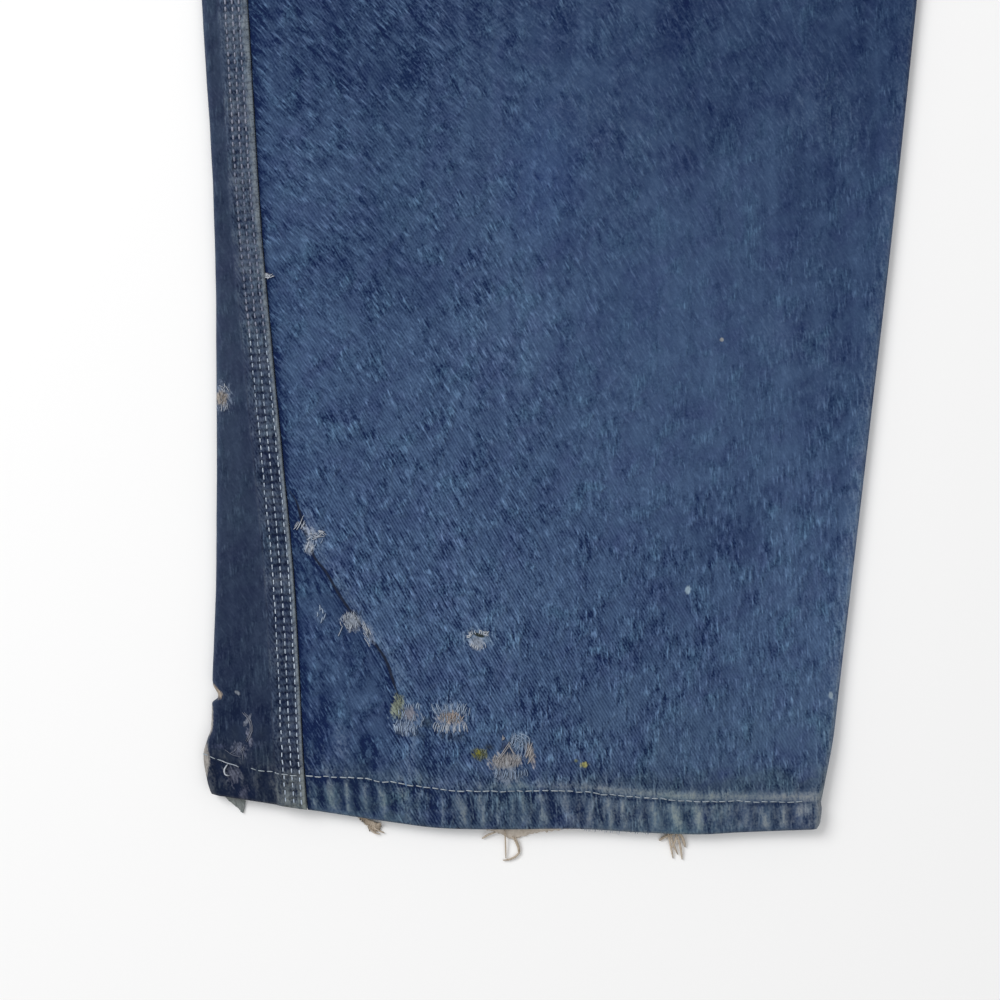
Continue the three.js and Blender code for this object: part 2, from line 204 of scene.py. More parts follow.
def stitches(name, lines, material, pitch=3.0, dash=2.1, width=0.5, sink=0.12):
    # lines of (points, normals) along a seam: a short arched thread at each pitch
    paths, ups, radii = [], [], []
    dice = np.random.default_rng(len(name) + 5)
    for points, normals in lines:
        steps = np.linalg.norm(np.diff(points, axis=0), axis=1)
        length = np.concatenate([[0], np.cumsum(steps)])
        count = max(2, int(length[-1] / pitch))
        middle = (np.arange(count) + 0.5) * pitch + dice.normal(0, 0.1, count)
        reach = dash / 2 * dice.uniform(0.86, 1.1, count)
        along = middle[:, None] + reach[:, None] * stitchShape["bends"]
        place = np.stack([np.interp(along, length, points[:, k]) for k in range(3)], -1)
        out = unit(np.stack([np.interp(along, length, normals[:, k]) for k in range(3)], -1))
        arch = stitchShape["arch"] - sink + stitchShape["proud"]
        beside = unit(np.cross(np.gradient(place, axis=1), out))
        wander = dice.normal(0, 0.09, (count, 1, 1))
        paths.append(place + out * arch[:, None] + beside * wander)
        ups.append(out)
        radii.append(width / 2 * stitchShape["taper"] * dice.uniform(0.85, 1.15, (count, 1)))
    paths, ups, radii = np.concatenate(paths), np.concatenate(ups), np.concatenate(radii)
    tubes(name, paths, radii, material, flatten=stitchShape["flat"], up=ups)


# colours and materials

def tone(red, green, blue):
    # a colour on the usual 0 to 255 scale, as linear light
    value = np.array([red, green, blue]) / 255
    linear = np.where(value <= 0.04045, value / 12.92, ((value + 0.055) / 1.055) ** 2.4)
    return (*linear.tolist(), 1.0)


def addNode(tree, kind, inputs=None, **settings):
    # a node with its settings, its plain values and its links, all at once
    node = tree.nodes.new(kind)
    for key, value in settings.items():
        setattr(node, key, value)
    feed(node, inputs or {})
    return node


def feed(node, inputs):
    # link what flows, and set what is plain
    for key, value in inputs.items():
        value = getattr(value, "socket", value)
        if isinstance(value, bpy.types.NodeSocket):
            node.id_data.links.new(value, node.inputs[key])
        else:
            node.inputs[key].default_value = value


class Flow:
    # a number flowing through a material's nodes: each step of arithmetic on it adds a Math node
    def __init__(self, socket):
        self.socket = socket

    def make(self, operation, *others, clamp=False):
        values = dict(enumerate((self, *others)))
        kind = "ShaderNodeMath"
        node = addNode(self.socket.id_data, kind, values, operation=operation, use_clamp=clamp)
        return Flow(node.outputs[0])

    def __add__(self, other):
        return self.make("ADD", other)

    def __sub__(self, other):
        return self.make("SUBTRACT", other)

    def __mul__(self, other):
        return self.make("MULTIPLY", other)

    def line(self, slope, base):
        # slope times it, plus base
        return self.make("MULTIPLY_ADD", slope, base)

    def ramp(self, slope, base):
        # the same, kept between 0 and 1
        return self.make("MULTIPLY_ADD", slope, base, clamp=True)


def blendTones(tree, factor, first, second, how="MIX", clamped=True):
    inputs = {0: factor, 6: first, 7: second}
    node = addNode(tree, "ShaderNodeMix", inputs, data_type="RGBA", blend_type=how, clamp_factor=clamped)
    return node.outputs[2]


def vectorStep(tree, operation, first, second):
    inputs = {0: first, 1: second}
    return addNode(tree, "ShaderNodeVectorMath", inputs, operation=operation).outputs[0]


def noise(tree, place, scale, detail, **more):
    inputs = {"Vector": place, "Scale": scale, "Detail": detail, **more}
    return Flow(addNode(tree, "ShaderNodeTexNoise", inputs).outputs[0])


def groupTree(name, inputs, outputs):
    # an empty node group: inputs as (name, kind, value), outputs as (name, kind)
    tree = bpy.data.node_groups.new(name, "ShaderNodeTree")
    for socket, kind, value in inputs:
        made = tree.interface.new_socket(socket, in_out="INPUT", socket_type="NodeSocket" + kind)
        if value is not None:
            made.default_value = value
    for socket, kind in outputs:
        tree.interface.new_socket(socket, in_out="OUTPUT", socket_type="NodeSocket" + kind)
    into, out = addNode(tree, "NodeGroupInput"), addNode(tree, "NodeGroupOutput")
    return tree, into.outputs, out


def buildTwill():
    # indigo twill: short flecks of pale weft and dark warp, slanted in some places and upright in
    # others, coarse in some patches and smooth in others, over a slow mottle of violet and green;
    # worn ridges go pale, and Deep darkens, which includes painted shade in crevices
    tree, into, out = groupTree("indigoTwill", [
        ("Cut", "Vector", None), ("Deep Tone", "Color", tone(27, 48, 83)),
        ("Pale Tone", "Color", tone(96, 124, 161)), ("Worn Tone", "Color", tone(126, 140, 156)),
        ("Level", "Float", 0.3), ("Grain", "Float", 1.0), ("Fade", "Float", 0.0), ("Deep", "Float", 0.0),
        ("Grime", "Float", 0.0), ("Upright", "Float", 0.5),
    ], [("Color", "Color"), ("Roughness", "Float"), ("Height", "Float"), ("Fleck", "Float")])
    cut = vectorStep(tree, "MULTIPLY", into["Cut"], (1000, 1000, 1000))  # mm
    given = {mark: Flow(into[mark]) for mark in ("Level", "Grain", "Fade", "Deep", "Grime", "Upright")}

    def fleck(turn, wide, tall, detail, warp=0.0):
        # noise stretched along the yarn: wide by tall is one fleck, in mm
        turned = {"Vector": cut, "Rotation": (0, 0, turn)}
        place = addNode(tree, "ShaderNodeMapping", turned, vector_type="POINT").outputs[0]
        place = vectorStep(tree, "MULTIPLY", place, (1 / wide, 1 / tall, 1))
        return noise(tree, place, 1.0, detail, Roughness=0.6, Distortion=warp)

    mottle = fleck(0.9, 14, 18, 3.0, 0.4)
    cloud = fleck(0.2, 60, 75, 2.0, 0.3)
    patch = fleck(0.5, 9, 13, 2.0, 0.5)
    bands = fleck(-0.03, 7, 150, 2.0)
    fine = fleck(-0.5, 0.8, 1.1, 1.0)

    # three slants of one pattern, each taking over from the last as Upright goes from 0 to 2
    steep = given["Upright"] + patch.line(3.0, -1.5)
    toMiddle, toHigh = steep.ramp(2.0, -0.5), steep.ramp(2.0, -2.5)

    def slants(wide, tall):
        low, middle, high = (fleck(turn, wide, tall * longer, 1.0, 0.15)
                             for turn, longer in ((-0.8, 1.6), (-0.5, 1.35), (-0.08, 1.35)))
        for share, other in ((toMiddle, middle), (toHigh, high)):
            low = Flow(addNode(tree, "ShaderNodeMix", {0: share, 2: low, 3: other}).outputs[0])
        return low

    broad, wisp = slants(2.1, 5.2), slants(0.9, 3.5)
    streak = broad * 0.5 + wisp * 0.5

    # twill lines: a sine across the slant, 1.1 mm apart
    x, y = (Flow(side) for side in addNode(tree, "ShaderNodeSeparateXYZ", {0: cut}).outputs[:2])
    twill = (fine * 2.4 + x * 4.9 + y * 2.9).make("SINE")

    # pale wisps stand out of soft streaks, thicker in the coarse patches
    coarse = patch.ramp(3.4, -1.1).line(0.8, 0.35) * given["Grain"]
    bright, dark = wisp.ramp(4.6, -2.5), wisp.ramp(-5.0, 2.1)
    spread = broad.line(0.8, -0.46) + bright * 0.56 - dark * 0.1 + fine.line(0.56, -0.26)
    spread = spread * coarse + twill * given["Grain"].ramp(0.2, -0.18)
    slow = mottle * 0.42 + cloud.line(0.36, -0.39) + bands.line(0.3, -0.15)
    level = given["Level"] + spread + slow - given["Deep"] * 0.3 + given["Fade"] * 0.28
    level = level.make("MAXIMUM", -0.12)
    body = blendTones(tree, level, into["Deep Tone"], into["Pale Tone"], clamped=False)
    body = blendTones(tree, mottle.ramp(-3.6, 1.9), body, (1.1, 0.965, 1.05, 1), "MULTIPLY")
    body = blendTones(tree, patch.ramp(3.6, -1.8), body, (0.9, 1.035, 0.97, 1), "MULTIPLY")

    # fade: the dyed face is rubbed off the ridges, in flecks; grime lies in brown and green clouds
    rubbed = fine * 1.5 + streak.line(2.4, -1.95) + given["Fade"] * 0.75
    rubbed = rubbed.make("MULTIPLY", given["Fade"], clamp=True)
    body = blendTones(tree, rubbed, body, into["Worn Tone"])
    dirt = mottle.ramp(1.8, -0.3).make("MULTIPLY", given["Grime"], clamp=True)
    soil = blendTones(tree, cloud.ramp(4.0, -1.5), (1.03, 0.91, 0.79, 1), (0.97, 0.95, 0.77, 1))
    body = blendTones(tree, dirt, body, soil, "MULTIPLY")

    height = (broad * 0.9 + wisp * 0.55 + fine * 0.06) * coarse
    feed(out, {"Color": body, "Height": height, "Fleck": fine * 0.35 + wisp * 0.65,
               "Roughness": level.line(-0.12, 0.92)})
    return tree


def buildSpot():
    # a spot with ragged edges: 1 inside an ellipse of half sizes Reach turned by Turn, gone outside it,
    # its edge pushed about by the flecks of the cloth
    tree, into, out = groupTree("raggedSpot", [
        ("Cut", "Vector", None), ("Color", "Color", None), ("Place", "Vector", None),
        ("Reach", "Vector", None), ("Turn", "Float", 0.0), ("Tint", "Color", None),
        ("Strength", "Float", 1.0), ("Fleck", "Float", 0.5), ("Ragged", "Float", 1.2),
        ("Soft", "Float", 0.35), ("Fibre", "Float", 1.0),
    ], [("Color", "Color"), ("Mask", "Float")])
    offset = vectorStep(tree, "SUBTRACT", into["Cut"], into["Place"])
    turned = {"Vector": offset, "Angle": into["Turn"]}
    offset = addNode(tree, "ShaderNodeVectorRotate", turned, rotation_type="Z_AXIS").outputs[0]
    offset = vectorStep(tree, "DIVIDE", offset, into["Reach"])
    far = Flow(addNode(tree, "ShaderNodeVectorMath", {0: offset}, operation="LENGTH").outputs[1])
    near = (Flow(into["Fleck"]) - 0.5) * into["Ragged"] + far.line(-1.0, 1.0)
    mask = near.make("DIVIDE", into["Soft"], clamp=True) * into["Strength"]
    # broken yarns show as light and dark fibres across the spot
    fibre = Flow(into["Fleck"]).line(3.0, -0.55).make("MAXIMUM", 0.35).make("MINIMUM", 1.5)
    tint = blendTones(tree, 1.0, into["Tint"], fibre, "MULTIPLY")
    tint = blendTones(tree, into["Fibre"], into["Tint"], tint)
    feed(out, {"Color": blendTones(tree, mask, into["Color"], tint), "Mask": mask})
    return tree


twillGroup, spotGroup = buildTwill(), buildSpot()


def newMaterial(name, **settings):
    material = bpy.data.materials.new(name)
    material.use_nodes = True
    shader = material.node_tree.nodes["Principled BSDF"]
    feed(shader, settings)
    return material, material.node_tree, shader


def bumped(tree, shader, height, distance, strength):
    bump = addNode(tree, "ShaderNodeBump", {"Height": height, "Distance": distance, "Strength": strength})
    feed(shader, {"Normal": bump.outputs[0]})


def denimMaterial(name, level=0.29, spots=(), creased=False, **tones):
    settings = {"Specular IOR Level": 0.18, "Sheen Weight": 0.06, "Sheen Roughness": 0.6}
    material, tree, shader = newMaterial(name, **settings)
    cut = addNode(tree, "ShaderNodeUVMap", uv_map="cut").outputs[0]
    marks = {mark: Flow(addNode(tree, "ShaderNodeAttribute", attribute_name=mark).outputs["Fac"])
             for mark in (*plainMarks, "inside")}
    # a felled strip, by the distance from its edge: three rows 3.2 mm apart, drawn in at each stitch,
    # 3 mm apart, with a pit at each needle hole and a rung of raised cloth between rows
    strip = marks["strip"]
    along = Flow(addNode(tree, "ShaderNodeSeparateXYZ", {0: cut}).outputs[1])
    wave = (along * 2094.4 + strip * 0.25).make("COSINE")
    inRow = strip.line(1.9635, -3.534).make("COSINE").line(0.5, 0.5)
    pit = inRow * wave.ramp(-1.4, -0.3)
    rung = (inRow.line(-1.0, 1.0) * wave - pit * 1.9) * strip.ramp(-0.7, 6.9)
    cloth = addNode(tree, "ShaderNodeGroup", {}, node_tree=twillGroup)
    # the rungs lighten and the pits darken the cloth's colour: painted light and shade of this relief
    feed(cloth, {"Level": rung.line(0.2, level), "Cut": cut, **tones})
    feed(cloth, {mark.capitalize(): marks[mark] for mark in ("upright", "grain", "fade", "deep", "grime")})
    color, fleck = cloth.outputs["Color"], cloth.outputs["Fleck"]
    if creased:
        # the crease's dark line, painted shade in its gap; crease is the distance in mm
        gap = (marks["crease"] + 0.2).make("ABSOLUTE").ramp(-2.2, 1.75)
        color = blendTones(tree, gap * 0.92, color, tone(18, 26, 46))
    for spot in spots:
        inputs = {"Cut": cut, "Color": color, "Fleck": fleck, **spot}
        color = addNode(tree, "ShaderNodeGroup", {}, node_tree=spotGroup)
        feed(color, inputs)
        color = color.outputs["Color"]
    inner = marks["inside"] * Flow(fleck).line(-1.3, 1.35)
    color = blendTones(tree, inner, color, tone(138, 150, 164))
    feed(shader, {"Base Color": color, "Roughness": cloth.outputs["Roughness"]})
    bumped(tree, shader, rung * 0.35 + cloth.outputs["Height"], 0.0007, 0.8)
    return material


def threadMaterial(name, dull, bright):
    # spun thread: a quick change of tone along it
    material, tree, shader = newMaterial(name, **{"Roughness": 0.85, "Specular IOR Level": 0.2})
    place = addNode(tree, "ShaderNodeTexCoord").outputs["Object"]
    speckle, drift = noise(tree, place, 900.0, 2.0), noise(tree, place, 60.0, 1.0)
    amount = drift.ramp(1.2, speckle.line(1.2, -0.7))
    feed(shader, {"Base Color": blendTones(tree, amount, tone(*dull), tone(*bright))})
    bumped(tree, shader, speckle, 0.0002, 0.5)
    return material


def metalMaterial():
    # dull brass wire: tarnish in the hollows, rubbed bright in patches
    material, tree, shader = newMaterial("tarnishedBrass", Metallic=0.95)
    place = addNode(tree, "ShaderNodeTexCoord").outputs["Object"]
    cloud, grain = noise(tree, place, 220.0, 4.0), noise(tree, place, 1800.0, 2.0)
    worn = cloud.ramp(3.2, -1.2)
    color = blendTones(tree, worn, tone(96, 84, 62), tone(176, 160, 122))
    feed(shader, {"Base Color": color, "Roughness": worn.line(-0.22, 0.55)})
    bumped(tree, shader, grain, 0.0002, 0.3)
    return material


# the legs: flattened tubes, front panel over back panel, with the outseam rolled on to the front
leg = dict(
    crotch=780, hem=15, ply=1.1, hemPlies=2.2, fellWidth=11, gap=0.3, foldFall=10, riseReach=180,
    outer=curve([(0, 336.2), (5, 337.8), (16, 339.4), (22, 337.9), (27, 336.4), (48, 335.8), (96, 334.4),
                 (172, 334.2), (252, 335.4), (332, 340.2), (450, 347), (620, 351), (780, 349), (870, 339),
                 (960, 320), (1050, 299), (1112, 286), (1152, 280)]),
    inseamAtHem=93.2, inseamSlope=0.1175, inseamSwell=1.9,
    fellLine=curve([(0, 297.6), (24, 299.4), (56, 301), (96, 303.2), (140, 307), (198, 312.4), (243, 316.4),
                    (332, 321.8), (450, 329.8), (620, 334.5), (780, 332.5), (870, 322.5), (960, 303.5),
                    (1050, 282.5), (1112, 269.5), (1152, 263.5)]),
    inseamUnder=curve([(0, 22), (400, 15), (700, 9), (750, 4), (772, -1.2)]),
    crotchGap=curve([(740, 0.3), (772, 2.4)]),
    rise=curve([(0, 14.5), (36, 8.8), (76, 2.8), (92, 0.9), (115, 0.4), (147, 0.6), (171, -0.8),
                (195, -1.6), (211, -0.8), (242, 0.5)]),
    radius=curve([(0, 3.2), (17, 3.2), (70, 2.4), (300, 2.3), (1050, 2.3), (1112, 2.9), (1152, 3.2)]),
    rest=curve([(0, 5.5), (17, 5.5), (70, 3.6), (300, 3.1), (1050, 3.1), (1106, 4.4), (1112, 4.6)]),
)
hemStitch = curve([(0, 16.4), (17, 13.6), (34, 13.4), (48, 14.8), (62, 16.2), (80, 16.4), (104, 15.4),
                   (140, 15.2), (170, 14.4), (200, 13), (226, 11.6), (246, 10.8)])
softFolds = [  # from, to, height, half width: the largest folds of the upper layer
    ((-26, 792), (-168, 858), 5, 17), ((-30, 752), (-196, 770), 4, 16), ((-44, 700), (-186, 640), 3.5, 18),
    ((-318, 520), (-206, 470), 3, 20), ((-92, 440), (-178, 492), 2.5, 18),
    ((-272, 980), (-176, 914), 3, 17), ((30, 800), (176, 842), 4.5, 17), ((26, 748), (188, 742), 4.5, 16),
    ((52, 664), (170, 590), 3, 19), ((306, 560), (214, 486), 3, 20), ((96, 390), (196, 420), 3, 20),
    ((300, 300), (196, 236), 2.5, 20), ((258, 1000), (150, 948), 3, 17),
]
crease = dict(path=curve([(52, -260.6), (56, -262.2), (68, -266.2), (76, -271.8), (91, -282.8),
                          (104, -290.6), (109, -294.6), (124, -299.8), (132, -302.2), (138, -306.6)]),
              low=50, high=140, step=1.5, sink=0.3, reach=26, lean=0.86)
nick = dict(depth=2.5, at=41.2, half=3.4, low=37.8, high=40.2, reach=7)


def ring(h, radius=None):
    # the lengths round the half tube at each height
    h = np.asarray(h, float)
    split = h < leg["crotch"]
    radius = leg["radius"](h) if radius is None else radius + 0 * h
    # the inner fold swells a little above the drawn-in hem
    swell = leg["inseamSwell"] * ease(h, 8, 40) * fall(h, 200, 420)
    inner = leg["inseamAtHem"] - leg["inseamSlope"] * h - swell
    quarter = np.pi / 2 * radius
    flat = leg["outer"](h) - np.where(split, inner, 0) - radius * np.where(split, 2, 1)
    rim = 2 * quarter + flat
    end = np.where(split, rim + leg["inseamUnder"](h), quarter + flat - leg["gap"] / 2)
    backEnd = np.where(split, 2 * rim - end - leg["crotchGap"](h), end)
    fell = quarter + leg["outer"](h) - leg["fellLine"](h) - radius
    return dict(h=h, split=split, radius=radius, rest=leg["rest"](h), quarter=quarter, flat=flat,
                top=quarter + flat, end=end, backEnd=backEnd, fell=fell)


def creaseOff(x, y):
    # how far a place lies to the raised side of the crease, and how strong the crease is there
    off = (x - crease["path"](y)) * crease["lean"]
    low, high = crease["low"], crease["high"]
    return off, ease(y, low, low + 12) * fall(y, high - 16, high)


def foldsAt(x, y, side):
    # soft ridges: a bell across each line, tapered at its ends
    lift = 0
    for start, finish, height, half in softFolds:
        step = np.subtract(finish, start)
        length = np.hypot(*step)
        ux, uy = step / length
        along = (x - start[0]) * ux + (y - start[1]) * uy
        off = (y - start[1]) * ux - (x - start[0]) * uy
        taper = ease(length / 2 - np.abs(along - length / 2) + half, 0, 2 * half)
        near = np.maximum(-along, along - length) <= half
        lift = lift + near * height * taper * hump(off, 0, half)
    if side < 0:
        # the crease: a step up on one side, falling away slowly, and a shallow sink on the other
        off, strength = creaseOff(x, y)
        step = crease["step"] * ease(off, -0.4, 1.0) * np.exp(-np.maximum(off, 0) / crease["reach"])
        sink = crease["sink"] * np.exp(-np.maximum(-off, 0) / 4) * (off < 0)
        lift = lift + (step - sink) * strength
    return lift


def tube(r, q, side):
    # the outside of the flattened tube: q runs round it from the outer fold, over the top when positive.
    # Two half circles at the folds, flat between; the upper layer settles to its rest height and lifts
    # in folds.
    keys = ("h", "radius", "rest", "quarter", "flat", "split")
    h, radius, rest, quarter, flat, split = (r[key][:, None] for key in keys)
    over = q >= 0
    way = np.where(over, 1, -1)
    past = np.abs(q) - quarter
    turn, turnIn = np.abs(q) / radius, (past - flat) / radius
    stretches = [past < 0, (past <= flat) | ~split, past <= flat + 2 * quarter]
    inset = np.select(stretches, [
        radius - radius * np.cos(turn), radius + np.clip(past, 0, flat),
        radius + flat + radius * np.sin(turnIn),
    ], radius + 2 * flat + 2 * quarter - past)
    z = np.select(stretches, [
        radius * (1 + way * np.sin(turn)), 2 * radius * over, radius * (1 + way * np.cos(turnIn)),
    ], 2 * radius * ~over)
    outer = leg["outer"](h)
    if side < 0:
        # the nick in the outer fold above the hem
        bite = nick["depth"] * hump(h, nick["at"], nick["half"]) * ease(h, nick["low"], nick["high"])
        outer = outer - bite * np.exp(-inset / nick["reach"])
    x = side * (outer - inset)
    y = h + leg["rise"](inset) * fall(h, 0, leg["riseReach"])
    settle = 1 - np.exp(-np.maximum(past, 0) / leg["foldFall"])
    settle = settle * np.where(split, 1 - np.exp(np.minimum(past - flat, 0) / leg["foldFall"]), 1)
    upper = over & (past >= 0) & (past <= flat)
    z = z + np.where(upper, settle * (rest - 2 * radius + foldsAt(x, y, side)), 0)
    return np.stack([x, y, z], -1)


def paneRows(fine):
    # heights of the rows: close at the hem and the nick, then wider up the leg
    if fine:
        low = (0, 36, 1.2), (36, 46, 0.8), (46, 345, 2.0), (348, 1100, 9.0)
    else:
        low = (0, 45, 2.5), (45, 345, 5.0), (348, 1100, 8.0)
    return np.concatenate([np.arange(*part) for part in low] + [[1104, 1111.7]])


def between(start, finish, count, bend=1.0):
    # count places from start to finish, for each row
    t = np.linspace(0, 1, count) ** bend
    return start[:, None] + (finish - start)[:, None] * t


def frontColumns(r, count):
    tail = np.where(r["split"], r["end"] - (r["top"] - 6), 24)
    turn = np.minimum(2 * r["quarter"], (tail - 6) * 0.85)
    start = r["fell"] + leg["gap"]
    beside = start[:, None] + np.array([0, 0.3, 0.6, 1.0, 1.5, 2.1, 2.8, 3.7, 4.8])
    wide = between(start + 6.2, r["end"] - tail, count - 9)
    bend = (r["end"] - tail + 6)[:, None] + turn[:, None] * np.linspace(0, 1, 12)
    return np.concatenate([beside, wide, bend, r["end"][:, None]], 1)


def backColumns(r, fine):
    near = 4 - np.minimum(r["backEnd"], r["top"])
    strip = r["fell"] - leg["fellWidth"] - 1.2
    return np.concatenate([
        between(-r["backEnd"], near, 5), between(near, -r["quarter"], 34)[:, 1:],
        between(-r["quarter"], r["quarter"], 17)[:, 1:],
        between(r["quarter"], strip, 18 if fine else 8)[:, 1:],
        between(strip, r["fell"], 28 if fine else 14, 0.9)[:, 1:],
    ], 1)


def ropes(x, h, seed, pitch=7.2):
    # the hem's diagonal puckers: uneven humps about pitch apart, leaning over as they go up
    drift = undulate(x, h * 0, 34, seed) * 2.4 + undulate(x, h * 0, 13, seed + 1)
    wave = np.sin(2 * np.pi * (x + 0.16 * h + drift) / pitch)
    return wave * (0.85 + 0.4 * undulate(x, h, 23, seed + 2))


def hemBand(x, h, inset, seed):
    # relief and marks of the turned hem: h is the height above its lower edge
    over = h - hemStitch(inset)
    band = ease(h, 0.4, 3) * fall(over, -2.5, 0)
    above = ease(over, 0, 2) * np.exp(-np.maximum(over, 0) / 9)
    rope = ropes(x, h, seed)
    relief = 0.5 * band * rope + 0.22 * above * rope + 0.28 * band
    relief -= 0.45 * hump(over, 0, 1.4) + 0.5 * fall(h, 0, 1.4)
    # rubbed: the tops of the puckers, the teeth of cloth over the stitches, and the lower edge
    ripple = ease(rope, 0.3, 1.0) + 0.35 * ease(ropes(x, 0.3 * h, seed + 5, 2.6), 0.2, 0.9)
    teeth = above * ease(ropes(x + 3, h, seed + 8, 3.7), 0.0, 0.9) * np.exp(-np.maximum(over, 0) / 2.5)
    worn = ease(inset, 90, 190)
    fade = band * (0.06 + 0.22 * worn + 0.62 * ripple) + above * (0.4 * ripple + (0.5 + 0.35 * worn) * teeth)
    fade += (0.16 + 0.62 * worn) * hump(over, 1.9, 1.9)
    fade += fall(h, 0, 1.8) * (0.25 + 0.35 * ripple + 0.5 * hump(inset, 168, 26))
    # dark: painted shade in the hollows, in the furrow of the stitches and on the cloth just above it
    deep = band * (0.95 - 0.1 * worn) * ease(-rope, -0.2, 0.7) + hump(over, -0.8, 0.8)
    deep += 0.34 * band * fall(inset, 50, 130) + 0.35 * worn * hump(over, 5.6, 1.8)
    grime = fall(h, 14, 30) * (1.45 + 0.45 * worn) + 0.5 * fall(h, 24, 80) * worn
    return relief, fade, deep, grime


def rowSpread(y):
    # the rows of stitches keep 1.8, 5 and 8.2 mm from the fell's edge near the hem; higher up they draw
    # closer together and the free edge is wider: by what share, and by how many mm
    up = ease(y, 150, 290)
    return 1 - 0.16 * up, 1.9 * up


def rowDistance(fromFell, y):
    # distance from the fell's edge, with that difference taken out
    share, free = rowSpread(y)
    return (fromFell - free) / share


def rowPlace(k, y):
    share, free = rowSpread(y)
    return (1.8 + 3.2 * k) * share + free


def flatPattern(r, q, side, y):
    across = leg["outer"](r["h"]) - r["radius"] + r["quarter"]
    return np.stack([side * (across[:, None] - q), y], -1)


def panel(name, side, grid, r, q, y, thick, material, marks, under, **sheet):
    # the left leg mirrors the right, so its columns run the other way to keep its faces outward
    way = slice(None, None, -side)
    marks = {mark: value[:, way] for mark, value in marks.items()}
    grid = grid[:, way]
    cut = flatPattern(r, q, side, y)[:, way]
    layCloth(name, grid, thick[:, way], cut, material, marks, rests_on=under, **sheet)
    return dict(grid=grid, h=r["h"], r=r, q=q, side=side)


def buildFront(side, suffix, material, fine, seed):
    h = paneRows(fine)
    r = ring(h)
    q = frontColumns(r, 140 if fine else 60)
    grid = tube(r, q, side)
    x, y = grid[..., 0], grid[..., 1]
    hh = h[:, None] + 0 * q
    inset = leg["outer"](hh) - side * x
    fromFell = q - r["fell"][:, None]
    fromInner = np.maximum((r["top"] + r["quarter"])[:, None] - q, 0)
    fromEnd = r["end"][:, None] - q
    relief, fade, deep, grime = hemBand(x, hh, inset, seed)
    relief *= 0.4 + 0.6 * ease(fromFell, 0, 6)
    relief += 0.16 * np.exp(-fromFell / 7) * undulate(y, x, 15, seed + 4, 3) * ease(hh, 16, 40)
    soft = 0.42 * undulate(x, y, 95, seed + 5) + 0.16 * undulate(x, y, 34, seed + 6)
    soft += 0.05 * undulate(x, y, 12, seed + 7)
    soft *= ease(fromFell, 0, 14) * ease(fromInner, 0, 26) * ease(hh, 12, 40)
    # the slack above the hem hangs in upright ridges near the outseam
    ridges = undulate(x + 0.25 * y, y, 11, seed + 11, 3.2) * ease(y, 16, 24) * fall(y, 44, 66)
    ridges *= ease(fromFell, 2, 8) * fall(fromFell, 40, 75)
    onTop = q < r["top"][:, None]
    relief = (relief + 0.42 * ridges + np.maximum(soft, -0.5)) * np.maximum(onTop, fall(hh, 6, 18))
    grid = grid + gridNormals(grid) * (relief * ease(fromEnd, 0, 3 if fine else 5))[..., None]

    # rubbed: high places, knee and seat, the inner fold, and the tops of ridges and folds
    thigh = fall(y, 420, 560)
    edge = np.abs(fromInner - 2.5)
    lift = foldsAt(x, y, 0)
    fade += 0.1 * ease(soft, 0.0, 0.6) + 0.1 * ease(y, 330, 560) * fall(y, 640, 800)
    fade += 0.16 * hump(x, side * 190, 90) * hump(y, 420, 160)
    fade += 0.5 * np.exp(-edge / 1.6) * fall(y, 60, 300) + 0.3 * np.exp(-edge / 2.0)
    fade += 0.32 * ease(ridges, 0.3, 1.0)
    fade += 0.2 * ease(lift, 0.8, 4.6) * (1 + 0.8 * undulate(x, y, 44, seed + 9))
    # dark: a painted shadow beside the fell's edge, painted shade in hollows and round the feet of folds,
    # and a little up the leg
    deep += 1.3 * np.exp(-fromFell / 1.3) + 0.42 * np.exp(-fromFell / 3.8)
    deep += 0.16 * ease(-soft, 0.0, 0.6) + 0.62 * ease(-ridges, 0.0, 0.8) + 0.3 * hump(lift, 0.9, 0.8)
    deep += 0.3 * fall(fromFell, 8, 60) * fall(y, 40, 110) * ease(y, 14, 20)
    deep += thigh * (0.16 * ease(y, 180, 300) + 0.22 * ease(y, 225, 290) * hump(inset, 160, 70)
                     + 0.3 * ease(y, 250, 330) + 0.3 * fall(fromInner, 20, 70) * ease(y, 90, 200))
    grain = 0.66 - 0.35 * fall(hh, 12, 18) + 0.62 * fall(fromFell, 60, 190)
    grain += 0.52 * fall(y, 60, 200) - 0.12 * ease(y, 180, 320)
    off = 60.0 + 0 * q
    if side < 0:
        off, strength = creaseOff(x, y)
        grain *= 1 - 0.35 * fall(off, -6, 0) * fall(y, 110, 150)
        below = np.maximum(-off, 0)
        # painted shade on the low side of the crease's step
        deep += strength * 0.75 * np.exp(-below / 5.5) * (off < 0.2)
        deep += strength * 0.25 * np.exp(-below / 16) * (off < 0)
        fade += strength * 0.42 * np.exp(-np.abs(off - 2.4) / 2.2) * (off > 0.4)
        off = off / np.maximum(strength, 0.03)
    marks = dict(fade=np.clip(fade, 0, 1), deep=np.clip(deep, 0, 1.3), grime=grime, crease=off, grain=grain,
                 upright=np.clip((292.6 - side * x) / 140 + (284 - y) / 240, 0, 2))
    thick = np.where(hh <= leg["hem"], leg["hemPlies"], leg["ply"])
    return panel("front_leg_" + suffix, side, grid, r, q, y, thick, material, marks,
                 ["back_leg_" + suffix], flat=(0.372, 1.13), area=0.352)


